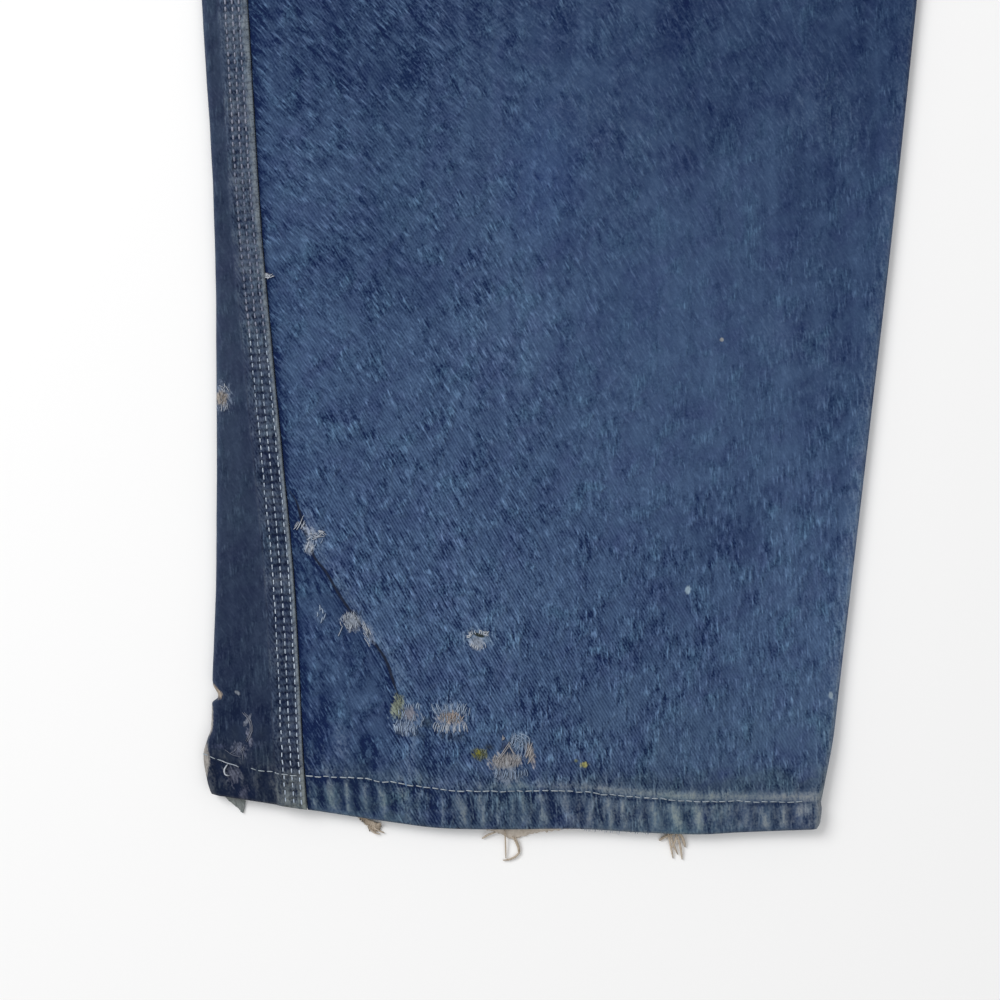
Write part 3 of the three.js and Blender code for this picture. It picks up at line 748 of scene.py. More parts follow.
def buildBack(side, suffix, material, fine, seed):
    h = paneRows(fine)
    r = ring(h)
    q = backColumns(r, fine)
    grid = tube(r, q, side)
    x, y = grid[..., 0], grid[..., 1]
    hh = h[:, None] + 0 * q
    fromFell = r["fell"][:, None] - q
    strip = leg["fellWidth"]
    onStrip = fall(fromFell, strip - 0.2, strip + 1.4)
    upper = ease(q, -r["quarter"][:, None] * 0.3, r["quarter"][:, None])
    relief, fade, deep, grime = hemBand(x, hh, leg["outer"](hh) - side * x, seed)
    fade *= 0.5
    deep += 0.3 * fall(hh, 13, 17)
    # the strip stands one ply up, its free edge rounded, with a furrow along each of three stitch rows
    inRows = rowDistance(fromFell, y)
    rows = sum(hump(inRows, 1.8 + 3.2 * k, 0.75) for k in range(3))
    bead = undulate(y, x, 6.5, seed + 3, 6)
    soft = 0.25 * undulate(x, y, 60, seed + 5) + 0.16 * undulate(x, y, 24, seed + 6)
    soft += 0.06 * undulate(x, y, 9, seed + 8)
    relief = upper * (relief * (1 - 0.75 * onStrip) + soft * (1 - onStrip) * ease(hh, 8, 30))
    relief += onStrip * (1.25 - 0.7 * np.exp(-fromFell / 0.5) - 0.28 * rows + 0.12 * bead)
    grid = grid + gridNormals(grid) * relief[..., None]

    high = ease(y, 110, 260)
    edge = fall(inRows, 0.3 - 1.6 * ease(y, 150, 290), 2.1)
    rubbed = (0.26 + 0.16 * high) * (1 - 0.6 * ease(inRows, 8.6, 10)) + 0.14 * bead
    rubbed += (0.9 - 0.3 * high) * edge + 0.34 * fall(hh, 12, 17)
    fade = fade * (1 - 0.6 * onStrip) + onStrip * rubbed
    fade += 0.22 * np.exp(-np.abs(fromFell - strip - 0.6) / 0.9) * (0.5 + 0.5 * bead) * ease(y, 20, 60)
    fade += (0.15 if side < 0 else 0.3) * np.exp(-np.abs(q) / (1.3 * r["radius"][:, None]))
    deep = deep * (1 - 0.6 * onStrip) + onStrip * (1 - edge) * (0.42 - 0.3 * high) * ease(hh, 10, 18)
    # off the strip the back is darker low down, and on the right leg darker where it shows on top: partly
    # dirt, partly painted shade where it turns over the fold
    deep += 0.22 * (1 - onStrip) * fall(y, 70, 160)
    if side < 0:
        deep += upper * (1 - onStrip) * (0.3 * hump(y, 40, 18) + 0.25)
    marks = dict(fade=np.clip(fade, 0, 1.5), deep=np.clip(deep, 0, 1), grime=grime, strip=inRows,
                 grain=0.6 + 0.75 * onStrip, upright=1.6 + 0 * q)
    thick = np.where(hh <= leg["hem"], leg["hemPlies"], leg["ply"] + onStrip * leg["ply"])
    return panel("back_leg_" + suffix, side, grid, r, q, y, thick, material, marks, [],
                 flat=(0.40, 1.13), area=0.375)


def spotTable(rows):
    # worn and painted places: x, y and the two half sizes in mm, colour, strength, how ragged and how
    # soft the edge is, and where needed its lean and how much broken yarn shows
    def spot(x, y, wide, tall, tint, strength, ragged, soft, turn=0.0, fibre=1.0):
        return {"Place": (x * metre, y * metre, 0), "Reach": (wide * metre, tall * metre, 1), "Turn": turn,
                "Tint": tone(*tint), "Strength": strength, "Ragged": ragged, "Soft": soft, "Fibre": fibre}
    return [spot(*row) for row in rows]


# on the right front: frays, paint, specks, and last the slow shading of the cloth
frontSpots = spotTable([
    (-295.6, 117.2, 6.2, 6.6, (98, 118, 146), 0.45, 3.4, 0.8, 0.5),
    (-296.4, 119, 4.6, 2.2, (142, 152, 170), 0.8, 2.6, 0.5, 0.7),
    (-296.8, 112.8, 2.5, 3.2, (140, 150, 166), 0.85, 2, 0.5),
    (-280, 83.4, 4.4, 4.2, (130, 138, 150), 0.9, 2.4, 0.5, 0.5),
    (-273.4, 79, 2.6, 5.4, (104, 118, 142), 0.75, 2.6, 0.5, -0.4),
    (-292.6, 86, 3, 4.6, (98, 118, 146), 0.4, 3.4, 0.8),
    (-257.8, 45.2, 6.6, 8.2, (98, 118, 146), 0.5, 3.4, 0.6),
    (-261.6, 49.6, 2.9, 5.4, (126, 134, 118), 0.85, 2.6, 0.5, 0.3),
    (-256.4, 46.2, 3.6, 3.6, (122, 122, 132), 0.85, 2.2, 0.5),
    (-259, 40.8, 4.4, 3.6, (108, 122, 146), 0.9, 2, 0.5),
    (-240.4, 44.6, 8, 8, (104, 124, 152), 0.75, 3.4, 0.5),
    (-240.2, 44.9, 6.2, 3.4, (142, 138, 138), 0.95, 2.2, 0.5),
    (-240, 45.2, 4.4, 2.2, (156, 140, 130), 0.9, 1.8, 0.6),
    (-249.6, 43, 2.8, 3, (36, 50, 64), 0.75, 1.4, 0.9),
    (-252.6, 38, 4.6, 2.6, (34, 50, 72), 0.55, 1.4, 0.9), (-238, 36.6, 8, 2.2, (34, 50, 72), 0.5, 1.6, 0.9),
    (-228.8, 30.4, 3.8, 2.7, (84, 86, 48), 0.95, 2.4, 0.6),
    (-229.6, 31.2, 1.6, 1.2, (122, 120, 52), 0.8, 2, 0.6),
    (-225.2, 33.2, 2.6, 1.8, (30, 38, 44), 0.8, 1.2, 0.9),
    (-218.4, 27.6, 7.6, 4, (140, 140, 142), 0.95, 2, 0.45, -0.15),
    (-217, 33.4, 4.4, 3.4, (56, 66, 96), 0.7, 2, 0.6),
    (-212.4, 35.6, 4.8, 4.4, (112, 134, 160), 0.8, 2.8, 0.5),
    (-208.6, 30.8, 2.1, 5.6, (140, 136, 138), 0.9, 2.2, 0.5, -0.35),
    (-217, 22, 6.8, 4, (108, 118, 134), 0.8, 3, 0.6), (-186.8, 26.2, 2, 1.5, (138, 136, 84), 0.95, 2, 0.5),
    (-190.2, 27.8, 1, 0.8, (112, 118, 84), 0.7, 1.6, 0.6),
    (-229.4, 77, 6.6, 4.2, (104, 124, 148), 0.8, 3, 0.5),
    (-229.8, 74.8, 3.4, 3.4, (138, 148, 164), 0.95, 1.4, 0.5),
    # a dark slit in this fray: painted shade in its opening
    (-229, 78, 2.9, 0.9, (34, 42, 40), 1, 0.5, 0.4, 0.3, 0),
    (-226.4, 78.8, 1.6, 1, (170, 176, 176), 0.8, 1.4, 0.5),
    (-131.8, 196.2, 1, 1, (136, 138, 140), 1, 0.5, 0.5, 0, 0.3),
    (-145.4, 96, 1.2, 2.2, (138, 158, 174), 0.9, 1.2, 0.5, 0.2, 0.4),
    (-88.4, 54, 1.1, 1.7, (134, 150, 164), 0.9, 1, 0.5, 0, 0.4),
    (-166, 214, 42, 60, (46, 68, 104), 0.25, 0.8, 1, 0, 0),
    (-190, 300, 60, 44, (40, 62, 98), 0.3, 0.8, 1, 0, 0),
    (-262, 262, 20, 60, (50, 76, 104), 0.2, 0.8, 1, 0, 0),
    (-203, 262, 22, 40, (52, 76, 128), 0.25, 0.8, 1, 0.1, 0),
])
# on the right back, as it laps to the front: a frayed place, the scuff, and marks beside it
backSpots = spotTable([
    (-331.8, 173, 4.4, 6.6, (104, 116, 136), 0.85, 2.6, 0.5),
    (-332.2, 172.6, 3.2, 3.6, (140, 132, 124), 0.9, 1.8, 0.5),
    (-325.8, 55, 1.4, 0.9, (118, 124, 134), 0.8, 1.6, 0.5, 0.5),
    (-321.6, 43.8, 1, 3.4, (116, 122, 136), 0.9, 2.2, 0.6, 0.6),
    (-320.6, 37.2, 1.2, 4.2, (104, 108, 126), 0.85, 2.4, 0.6, -0.25),
    (-324.4, 32.4, 4, 3.2, (92, 98, 116), 0.8, 3, 0.7, 0.6),
    (-326.6, 22.6, 3.4, 4.6, (92, 96, 112), 0.75, 3, 0.8, -0.3),
    (-323.2, 14, 2.2, 5, (76, 80, 98), 0.65, 2.6, 0.8, 0.3),
    (-332.4, 33.6, 4, 1.4, (62, 70, 96), 0.6, 2.6, 0.8),
    (-316.6, 34.4, 3.2, 1.6, (62, 74, 96), 0.6, 2.4, 0.8),
    (-326.6, 39.6, 2.8, 4.6, (26, 38, 56), 0.5, 1, 1, 0, 0),
    (-316, 38.4, 4, 5.4, (26, 38, 56), 0.45, 1, 1, 0, 0),
    # the rubbed lips of the outer fold, and a tan thread bared at the nick
    (-337.2, 44.6, 2, 7.6, (158, 154, 150), 0.95, 1, 0.4),
    (-339.6, 28.8, 3.5, 8.6, (146, 142, 138), 0.95, 0.8, 0.35, -0.06, 0.6),
    (-335, 55.4, 2, 3.8, (160, 146, 130), 0.9, 1.4, 0.5, -0.35),
    (-338.4, 11, 2.6, 8, (58, 56, 62), 0.8, 1.4, 0.6),
])
# a few specks of the same kinds on the left front, and on the bib
leftSpots = spotTable([
    (218, 62, 3.4, 2.6, (118, 118, 52), 0.9, 1.8, 0.6), (204, 88, 6, 5, (98, 118, 146), 0.6, 2.6, 0.6),
    (186, 402, 4.6, 3.2, (176, 170, 158), 0.9, 1.6, 0.5),
    (240, 520, 2.2, 1.8, (158, 150, 62), 0.9, 1.5, 0.5),
    (130, 560, 1.4, 1.2, (196, 150, 116), 0.9, 0.5, 0.4),
    (160, 300, 1.2, 2.4, (170, 180, 188), 0.9, 0.8, 0.4),
])
bibSpots = spotTable([
    (-52, 1236, 5.5, 3.6, (176, 170, 158), 0.9, 1.6, 0.5),
    (-36, 1262, 2, 1.6, (176, 170, 158), 0.9, 1.4, 0.5), (64, 1290, 2.4, 2, (158, 150, 62), 0.9, 1.6, 0.5),
    (92, 1206, 1.4, 1.2, (196, 150, 116), 0.9, 0.6, 0.4), (20, 1330, 7, 5, (98, 118, 146), 0.5, 2.6, 0.7),
    (6, 1196, 1.6, 2.6, (118, 118, 52), 0.9, 1.6, 0.5),
])
backTones = {"Deep Tone": tone(24, 38, 64), "Pale Tone": tone(80, 97, 122), "Worn Tone": tone(118, 128, 138)}

legs = {}
for side, suffix, frontSettings, backSettings in (
    (-1, "right", dict(spots=frontSpots, creased=True), dict(spots=backSpots)),
    (1, "left", dict(level=0.3, spots=leftSpots), {}),
):
    fine = side < 0
    frontCloth = denimMaterial(f"front{suffix.capitalize()}Denim", **frontSettings)
    backCloth = denimMaterial(f"back{suffix.capitalize()}Denim", level=0.27, **backSettings, **backTones)
    legs["back", suffix] = buildBack(side, suffix, backCloth, fine, 31 + side)
    legs["front", suffix] = buildFront(side, suffix, frontCloth, fine, 52 + side)
print("legs built")


def seamLine(panel, h, q):
    # points and normals on a panel at heights h and places q round the tube
    h, q = np.broadcast_arrays(np.asarray(h, float), np.asarray(q, float))
    rows, columns = panel["q"].shape
    rowAt = np.interp(h, panel["h"], np.arange(rows))
    i = np.clip(np.round(rowAt).astype(int), 0, rows - 1)
    colAt = np.array([np.interp(one, panel["q"][k], np.arange(columns)) for one, k in zip(q, i)])
    return follow(panel["grid"], rowAt, columns - 1 - colAt if panel["side"] > 0 else colAt)


cottonThread = threadMaterial("seamThread", (124, 140, 162), (204, 216, 230))
greyThread = threadMaterial("wornThread", (88, 98, 122), (148, 152, 168))
hemThread = threadMaterial("hemThread", (118, 130, 142), (184, 192, 198))
looped = dict(low=21, high=27)  # the hem's thread has slipped between these distances from the fell


def stitchLeg(back, front, suffix):
    # three rows down the felled strip, pale near the hem and worn grey above
    for heights, label, thread, width in (
        (np.arange(1.5, 200, 2.0), "low", cottonThread, 0.5),
        (np.arange(198.0, 1108, 6.0), "high", greyThread, 0.78),
    ):
        fell = np.interp(heights, back["h"], back["r"]["fell"])
        lines = [seamLine(back, heights, fell - rowPlace(k, heights)) for k in range(3)]
        stitches(f"fell_stitches_{label}_{suffix}", lines, thread, width=width, sink=0.1)
    # the hem's row runs right round the leg: over the front, and under it on the back
    lines = []
    for part, start, finish, count in (
        (front, front["q"][0, 0] + 0.8, front["r"]["top"][0], 150),
        (back, 24 - back["r"]["top"][0], back["r"]["fell"][0] - 0.6, 160),
    ):
        across = np.linspace(start, finish, count)
        inset = np.abs(across) - part["r"]["quarter"][0] + part["r"]["radius"][0]
        fromFell = back["r"]["fell"][0] - across
        kept = [np.full(count, True)]
        if part is back and suffix == "right":
            kept = [fromFell > looped["high"], fromFell < looped["low"]]
        lines += [seamLine(part, hemStitch(inset)[keep], across[keep]) for keep in kept]
    # the pull of each stitch leaves the row a little wavy
    for place, _ in lines:
        x = place[:, 0]
        place[:, 1] += 0.22 * undulate(x, 0 * x, 5, 77) + 0.12 * undulate(x, 0 * x, 2.2, 78)
    stitches("hem_stitches_" + suffix, lines, hemThread, pitch=3.4, dash=3.05, sink=0.08)


def stitchCentre():
    # two rows hold the centre seams down on the right leg's side
    heights = np.arange(796.0, 1106, 6.0)
    for label, way in (("front", 1), ("back", -1)):
        part = legs[label, "right"]
        edge = np.interp(heights, part["h"], part["r"]["end"])
        rows = [seamLine(part, heights, way * (edge - off)) for off in (3.4, 9.8)]
        stitches("centre_stitches_" + label, rows, greyThread, width=0.6)


stitchLeg(legs["back", "right"], legs["front", "right"], "right")
stitchCentre()
stitchLeg(legs["back", "left"], legs["front", "left"], "left")
print("leg seams stitched")

# the rest of the garment: bands, bibs, straps and their metal, outside the folded legs
plainDenim = denimMaterial("plainDenim")
bibDenim = denimMaterial("bibDenim", level=0.3, spots=bibSpots)
band = dict(low=1112, high=1151.7, rest=5.5, radius=3.2, thick=2.2, rows=(1.6, 17.4))
bandStitch = dict(pitch=3.1, dash=2.2)


def bandMarks(grid, upper, seed):
    # relief and marks of a doubled band: sunk at its two rows of stitches, rubbed along its edges
    x, y = grid[..., 0], grid[..., 1]
    rope = ropes(x, y, seed, 7)
    fromEdge = np.minimum(y - band["low"], band["high"] - y)
    relief = 0.12 * rope * ease(fromEdge, 2, 8) - 0.3 * hump(fromEdge, 3, 1.3)
    relief -= 0.45 * fall(fromEdge, 0, 1.5)
    fade = 0.35 * ease(rope, 0, 1) + 0.6 * fall(fromEdge, 0, 2)
    # deep is painted shade in the puckers' hollows and beside the stitch rows
    deep = 0.3 * ease(-rope, 0, 1) + 0.3 * hump(fromEdge, 3, 1)
    return relief * upper, fade, deep


def buildBand(name, r, q, columns, **sheet):
    grid = np.concatenate([tube(r, q, -1), tube(r, q, 1)[:, ::-1]], 1)[:, ::columns]
    upper = ease(np.concatenate([q, q[:, ::-1]], 1)[:, ::columns], 0, 4)
    relief, fade, deep = bandMarks(grid, upper, len(name))
    cut = grid[..., :2]
    grid = grid + gridNormals(grid) * relief[..., None]
    layCloth(name, grid, band["thick"], cut, plainDenim, dict(fade=fade, deep=deep), **sheet)
    across = np.linspace(0.5, grid.shape[1] - 1.5, 380)
    rows = [follow(grid, place, across) for place in band["rows"]]
    stitches(name + "_stitches", rows, cottonThread, **bandStitch)


def buildBands():
    h = np.linspace(band["low"], band["high"], 20)
    r = ring(h, band["radius"])
    r["rest"] = band["rest"] + 0 * h
    fold = r["quarter"]
    front = between(r["fell"] + leg["gap"], r["top"] - 12, 64)
    under = between(-fold, 12 - r["top"], 40)[:, 1:]
    back = np.concatenate([between(r["fell"], fold, 10), between(fold, -fold, 15)[:, 1:], under], 1)
    buildBand("waistband_front", r, front, 1, flat=(0.55, 0.04), rests_on=["waistband_back"], area=0.022)
    # the back band is seen from below, so its columns run the other way
    buildBand("waistband_back", r, back, -1, flat=(0.62, 0.04), rests_on=[], area=0.0248)


bib = dict(high=268, hem=25, thick=1.1, hemThick=2.2,
           half=curve([(0, 205), (30, 174), (90, 146), (180, 131), (268, 126)]),
           height=curve([(0, 4.9), (60, 3.4), (215, 3.4), (243, 4.2), (268, 4.2)]))
backBib = dict(high=318, hem=25, thick=1.1, hemThick=2.3, rise=0.35,
               half=curve([(0, 262), (40, 214), (110, 158), (200, 112), (318, 66)]))
bibRows = dict(sides=(3.0, 9.4), hem=(3.0, 21.0))


def bibShape(shape, pitch, hemRows, t):
    # rows go up the bib, close together in its hem, and columns spread with its half width
    high = shape["high"]
    up = np.concatenate([np.arange(0, high - 28, pitch), np.linspace(high - 27, high, hemRows)])[:, None]
    half = shape["half"](up)
    thick = np.where(up >= high - shape["hem"], shape["hemThick"], shape["thick"])
    return up, half * t, bibFoot + up + 0 * t, half * (1 - np.abs(t)), thick


def stitchBib(name, grid, shape, up, facing, margin, count):
    # two rows down each side and two along the hem
    rows, columns = np.arange(grid.shape[0]), grid.shape[1] - 1
    lines = []
    for off in bibRows["sides"]:
        for way in (-1, 1):
            colAt = (1 + way * (1 - off / shape["half"](up))) / 2 * columns
            lines.append(follow(grid, rows[:-1], colAt[:-1]))
    for off in bibRows["hem"]:
        rowAt = np.interp(shape["high"] - off, up, rows)
        lines.append(follow(grid, rowAt, np.linspace(margin, columns - margin, count)))
    lines = [(points, normals * facing) for points, normals in lines]
    stitches(name + "_stitches", lines, cottonThread, **bandStitch)


def buildBibs():
    up, x, y, fromSide, thick = bibShape(bib, 4.0, 16, np.linspace(-1, 1, 96))
    fromTop = bib["high"] - up + 0 * x
    rope = ropes(x, fromTop, 71, 6.4)
    hem = ease(bib["hem"] - fromTop, -1, 1)
    soft = 0.4 * undulate(x, y, 80, 72) + 0.2 * undulate(x, y, 30, 73)
    soft *= ease(fromSide, 0, 12) * (1 - hem) * ease(up, 0, 14)
    relief = np.maximum(soft, -0.25) + hem * 0.25 * rope - 0.35 * hump(fromTop, 21, 1.4)
    relief -= 0.3 * hump(fromSide, 9, 1.3) + 0.4 * fall(fromSide, 0, 1.6)
    grid = np.stack([x, y, bib["height"](up) + relief], -1)
    fade = 0.5 * hem * ease(rope, 0, 1) + 0.12 * ease(soft, 0, 0.5)
    fade += 0.5 * fall(fromSide, 0, 2.5) + 0.5 * fall(fromTop, 0, 2.5)
    # deep is painted shade in the hem's hollows, along the side rows' furrow and in low places
    deep = 0.35 * hem * ease(-rope, 0, 1) + 0.3 * hump(fromSide, 9, 1.2) + 0.15 * ease(-soft, 0, 0.5)
    layCloth("bib_front", grid, thick, grid[..., :2], bibDenim, dict(fade=fade, deep=deep, grain=0.9),
             flat=(0.41, 0.318), rests_on=["bib_back"], area=0.086)
    stitchBib("bib_front", grid, bib, up[:, 0], 1, 3, 300)

    # the back bib lies face down, so its stitches show on the inside; its free edges lift a little
    up, x, y, fromSide, thick = bibShape(backBib, 5.0, 12, np.linspace(1, -1, 80))
    cover = bib["half"](np.minimum(up, bib["high"])) - 30 * (up > bib["high"])
    free = fall(fromSide, 0, 30) * ease(np.abs(x) - cover, -6, 8)
    lift = backBib["rise"] * (1 + undulate(x, y, 60, 83)) * free
    grid = np.stack([x, y, np.maximum(lift, 0)], -1)
    fade = 0.6 * np.exp(-fromSide / 2)
    layCloth("bib_back", grid, thick, grid[..., :2], plainDenim, dict(fade=fade, deep=0.1, grain=0.9),
             flat=(0.524, 0.343), rests_on=[], area=0.093)
    inside = grid - gridNormals(grid) * thick[..., None]
    stitchBib("bib_back", inside, backBib, up[:, 0], -1, 2, 200)


buildBands()
buildBibs()

strap = dict(
    half=20, thick=2.0, start=(42, 1470.3), fold=(88, 1632), bar=(98, 1440), slider=(94.9, 1500),
    barHeight=6, sliderHeight=7, loop=3.1, turn=2.2, rows=(-0.86, -0.55, 0.55, 0.86),
    height=curve([(1440, 9.1), (1455, 9.1), (1466, 8), (1488.5, 4.6), (1494, 6.7), (1500, 9.4), (1506, 6.7),
                  (1511.5, 4.6), (1520, 4.7), (1570, 5.1), (1632, 5.4)]),
)
strapTurn = np.arctan2(strap["bar"][0] - strap["fold"][0], strap["fold"][1] - strap["bar"][1])


def strapPath():
    # up from the back bib, over in a hairpin at the shoulder, down through the slider, round the buckle's
    # bar and back a little: for each row its place, its height, the way across and how wide it is
    start, fold, bar = (np.array(strap[k], float) for k in ("start", "fold", "bar"))
    rise, fall = unit(fold - start), unit(bar - fold)
    acrossFold, acrossBar, level = unit(rise + fall), np.array([-fall[1], fall[0]]), np.array([1.0, 0])
    stretch = 1 / abs(rise[0] * acrossFold[1] - rise[1] * acrossFold[0])
    up = np.linspace(0, 0.97, 40)[:, None]
    hairpin, wrap = np.linspace(0, np.pi, 13)[:, None], np.linspace(0, np.pi, 15)[:, None]
    y = [np.arange(1618, 1516, -4.0), np.arange(1515, 1484, -1.5), np.arange(1481, 1452, -4.0)]
    y = np.concatenate(y)[:, None]
    down = (fold[1] - y) / (fold[1] - bar[1])
    tail = np.linspace(5, 27, 8)[:, None]
    turn, loop, low = strap["turn"], strap["loop"], strap["barHeight"]
    rising, falling = np.minimum(1, 2 * up), np.minimum(1, 2 * down)
    parts = [
        (start + (fold - start) * up, 1 + 0 * up, level + (acrossFold - level) * rising, stretch),
        (fold + rise * turn * np.sin(hairpin), 1 + turn * (1 - np.cos(hairpin)), acrossFold, stretch),
        (fold + (bar - fold) * down, strap["height"](y), acrossFold + (acrossBar - acrossFold) * falling,
         stretch + (1 - stretch) * ease(down, 0, 0.3)),
        (bar + fall * loop * np.sin(wrap), low + loop * np.cos(wrap), acrossBar, 1),
        (bar - fall * tail, low - loop + 0 * tail, acrossBar, 1),
    ]
    place, z = (np.concatenate([part[k] for part in parts]) for k in (0, 1))
    across, wide = (np.concatenate([part[k] + 0 * part[m] for part in parts]) for k, m in ((2, 0), (3, 1)))
    return place, z, unit(across), wide


def buildStrap(side, suffix, seed):
    name = "strap_" + suffix
    place, z, across, wide = strapPath()
    t = np.linspace(-1, 1, 17)
    reach = strap["half"] * wide * t
    x, y = place[:, :1] + across[:, :1] * reach, place[:, 1:] + across[:, 1:] * reach
    mid = np.stack([side * x, y, z + 0 * t], -1)
    steps = np.linalg.norm(np.diff(place, axis=0), axis=1) + np.abs(np.diff(z[:, 0]))
    along = np.concatenate([[0], np.cumsum(steps)])[:, None]
    cut = np.stack([reach + side * 420, along + 0 * t + seed * 500], -1)
    if side > 0:
        mid, cut = mid[:, ::-1], cut[:, ::-1]
    edge = fall(1 - np.abs(t), 0, 0.1)
    furrow = hump(np.abs(t), 0.86, 0.05) + hump(np.abs(t), 0.55, 0.05)
    puff = 0.1 * undulate(along, reach, 9, seed + 91)
    out = strap["thick"] / 2 - 0.05 - 0.3 * edge - 0.1 * furrow + puff
    grid = mid + gridNormals(mid) * out[..., None]
    thick = strap["thick"] - 0.1 - 0.6 * edge
    # folded double, so both sides are the cloth's face
    # deep is painted shade in the furrows of the stitch rows
    marks = dict(paleInside=0.0, fade=0.15 + 0.65 * edge + 0.8 * puff, deep=0.3 * furrow)
    layCloth(name, grid, thick, cut, plainDenim, marks, flat=(0.04, 0.42),
             rests_on=["bib_back", "bib_front"], area=0.0168)
    columns = [(row + 1) / 2 * (len(t) - 1) for row in strap["rows"]]
    lines = [follow(grid, np.arange(0, grid.shape[0] - 1), column) for column in columns]
    stitches(name + "_stitches", lines, cottonThread)


brass = metalMaterial()
button = dict(shank=3.0, sew=1.1, sides=40)
buckle = dict(bar=23.5, wire=1.25, flatten=0.88, eye=7.0, drop=40, cross=-8.9, knob=4.5)
slider = dict(half=(23.6, 11.6), wire=1.45, flatten=0.55)


def rounded(points, passes):
    # corners cut back again and again until they are round
    path = np.array(points, float)
    for _ in range(passes):
        nearer, farther = path[:-1] * 0.75 + path[1:] * 0.25, path[:-1] * 0.25 + path[1:] * 0.75
        inner = np.stack([nearer, farther], 1).reshape(-1, 2)
        path = np.concatenate([path[:1], inner, path[-1:]])
    return path


def wire(name, path, shape, place, turn):
    # round wire along a flat path, turned and laid in its place
    x, y = np.array(path, float).T
    c, s = np.cos(turn), np.sin(turn)
    line = np.stack([x * c - y * s, x * s + y * c, 0 * x], -1) + place
    piece = tubes(name, line[None], shape["wire"], brass, sides=12, flatten=shape["flatten"])
    return piece


def barPath(half, y):
    return [(half * part, y) for part in (-1, -0.5, 0, 0.5, 1)]


def buildButton(name, node, shank, place):
    # turned about an upright axis: foot, shank, rolled rim and a dished face with a small boss
    head = shank + 2.4
    profile = np.array([
        (0.2, 0.02), (4.2, 0.05), (4.2, 0.35), (3, 0.6), (3, shank), (7.6, shank + 0.05), (8.3, shank + 0.5),
        (8.5, shank + 1.1), (8.3, head - 0.5), (7.7, head - 0.05), (7.0, head), (6.3, head - 0.25),
        (5.6, head - 0.75), (4.0, head - 0.85), (3.0, head - 0.8), (2.4, head - 0.5), (1.2, head - 0.35),
        (0.2, head - 0.33)], float)
    sides = button["sides"]
    turn = np.arange(sides) * 2 * np.pi / sides
    radius, z = profile[:, :1], profile[:, 1:]
    points = np.stack([radius * np.cos(turn), radius * np.sin(turn), z + 0 * turn], -1) + np.array(place)
    number = np.arange(len(profile) * sides).reshape(-1, sides)
    turned = np.roll(number, -1, axis=1)
    skin = quads(number[:-1], turned[:-1], turned[1:], number[1:])
    caps = [number[0, ::-1].tolist(), number[-1].tolist()]
    piece = fillMesh(name, points.reshape(-1, 3), skin.tolist() + caps, brass)
    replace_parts(piece, node)


def buildFastening(side, suffix):
    turn = side * strapTurn
    across, along = strap["slider"]
    place = (side * across, along, strap["sliderHeight"])
    w, l = slider["half"]
    frameLine = rounded([(0, l), (w, l), (w, -l), (-w, -l), (-w, l), (0, l)], 4)
    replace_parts(wire("slider_frame_" + suffix, frameLine, slider, place, turn), "slider_" + suffix)
    wire("slider_bar_" + suffix, barPath(w, 0), slider, place, turn)
    across, along = strap["bar"]
    place = (side * across, along, strap["barHeight"])
    b, drop = buckle["bar"], buckle["drop"]
    a = np.linspace(0.35, -0.35 - np.pi, 15)
    eye = np.stack([buckle["eye"] * np.cos(a), buckle["eye"] * np.sin(a) - drop - 1], -1).tolist()
    loop = [(0, 0), (b, 0), (b, -10), (9.4, -24)] + eye + [(-9.4, -24), (-b, -10), (-b, 0), (0, 0)]
    hoop = wire("buckle_hoop_" + suffix, rounded(loop, 3), buckle, place, turn)
    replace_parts(hoop, "buckle_" + suffix)
    wire("buckle_bar_" + suffix, barPath(b, buckle["cross"]), buckle, place, turn)
    place = (side * across + drop * np.sin(turn), along - drop * np.cos(turn), buckle["knob"])
    buildButton("bib_button_" + suffix, "button_bib_" + suffix, button["shank"], place)
    for label, h, z in (("waist", 1132, band["rest"] + 0.9), ("hip", 1040, float(leg["rest"](1040)) + 1.5)):
        place = (side * (float(leg["fellLine"](h)) - 13), h, z)
        buildButton(f"side_button_{label}_{suffix}", f"button_{label}_{suffix}", button["sew"], place)


for side, suffix in ((-1, "right"), (1, "left")):
    buildStrap(side, suffix, side + 3)
    buildFastening(side, suffix)
print("bands, bibs, straps and metal built")

# frays on the right leg: broken yarns that stand a little off the cloth, which is each panel's upper side
# from the hem to below the knee
nearHem, frontTop, backTop = slice(0, 190), slice(0, 138), slice(38, None)
surface = legs["front", "right"]["grid"][nearHem, frontTop].reshape(-1, 3)
backSurface = legs["back", "right"]["grid"][nearHem, backTop].reshape(-1, 3)
fringeDice = np.random.default_rng(7)
alongYarn = np.linspace(0, 1, 7)


def heightAt(points, among):
    # height of the cloth's nearest point
    flat = points.reshape(-1, 2)
    blocks = np.array_split(flat, max(1, len(flat) // 400))
    nearest = [((block[:, None] - among[None, :, :2]) ** 2).sum(-1).argmin(1) for block in blocks]
    return among[np.concatenate(nearest), 2].reshape(points.shape[:-1])


def tuft(at, reach, count, length, lean, spread, curl=0.15, lift=0.5, among=surface):
    # short yarns scattered over an ellipse, each a gentle bow leaning about one way
    t = alongYarn
    angle = lean + fringeDice.normal(0, spread, (count, 1))
    far = np.sqrt(fringeDice.uniform(0, 1, (count, 1)))
    around = fringeDice.uniform(0, 2 * np.pi, (count, 1))
    middle = np.stack([at[0] + reach[0] * far * np.cos(around), at[1] + reach[1] * far * np.sin(around)], -1)
    size = length * fringeDice.uniform(0.5, 1.3, (count, 1))
    run = (t - 0.5) * size
    wave = np.pi * t * fringeDice.uniform(0.8, 1.6, (count, 1)) + fringeDice.uniform(-1, 1, (count, 1))
    bow = curl * size * 0.25 * np.sin(wave)
    c, s = np.cos(angle), np.sin(angle)
    flat = middle + np.stack([run * s + bow * c, run * c - bow * s], -1)
    rise = lift * np.abs(np.sin(np.pi * (t + fringeDice.uniform(-0.4, 0.4, (count, 1)))))
    return np.concatenate([flat, (heightAt(flat, among) + 0.1 + rise)[..., None]], -1)


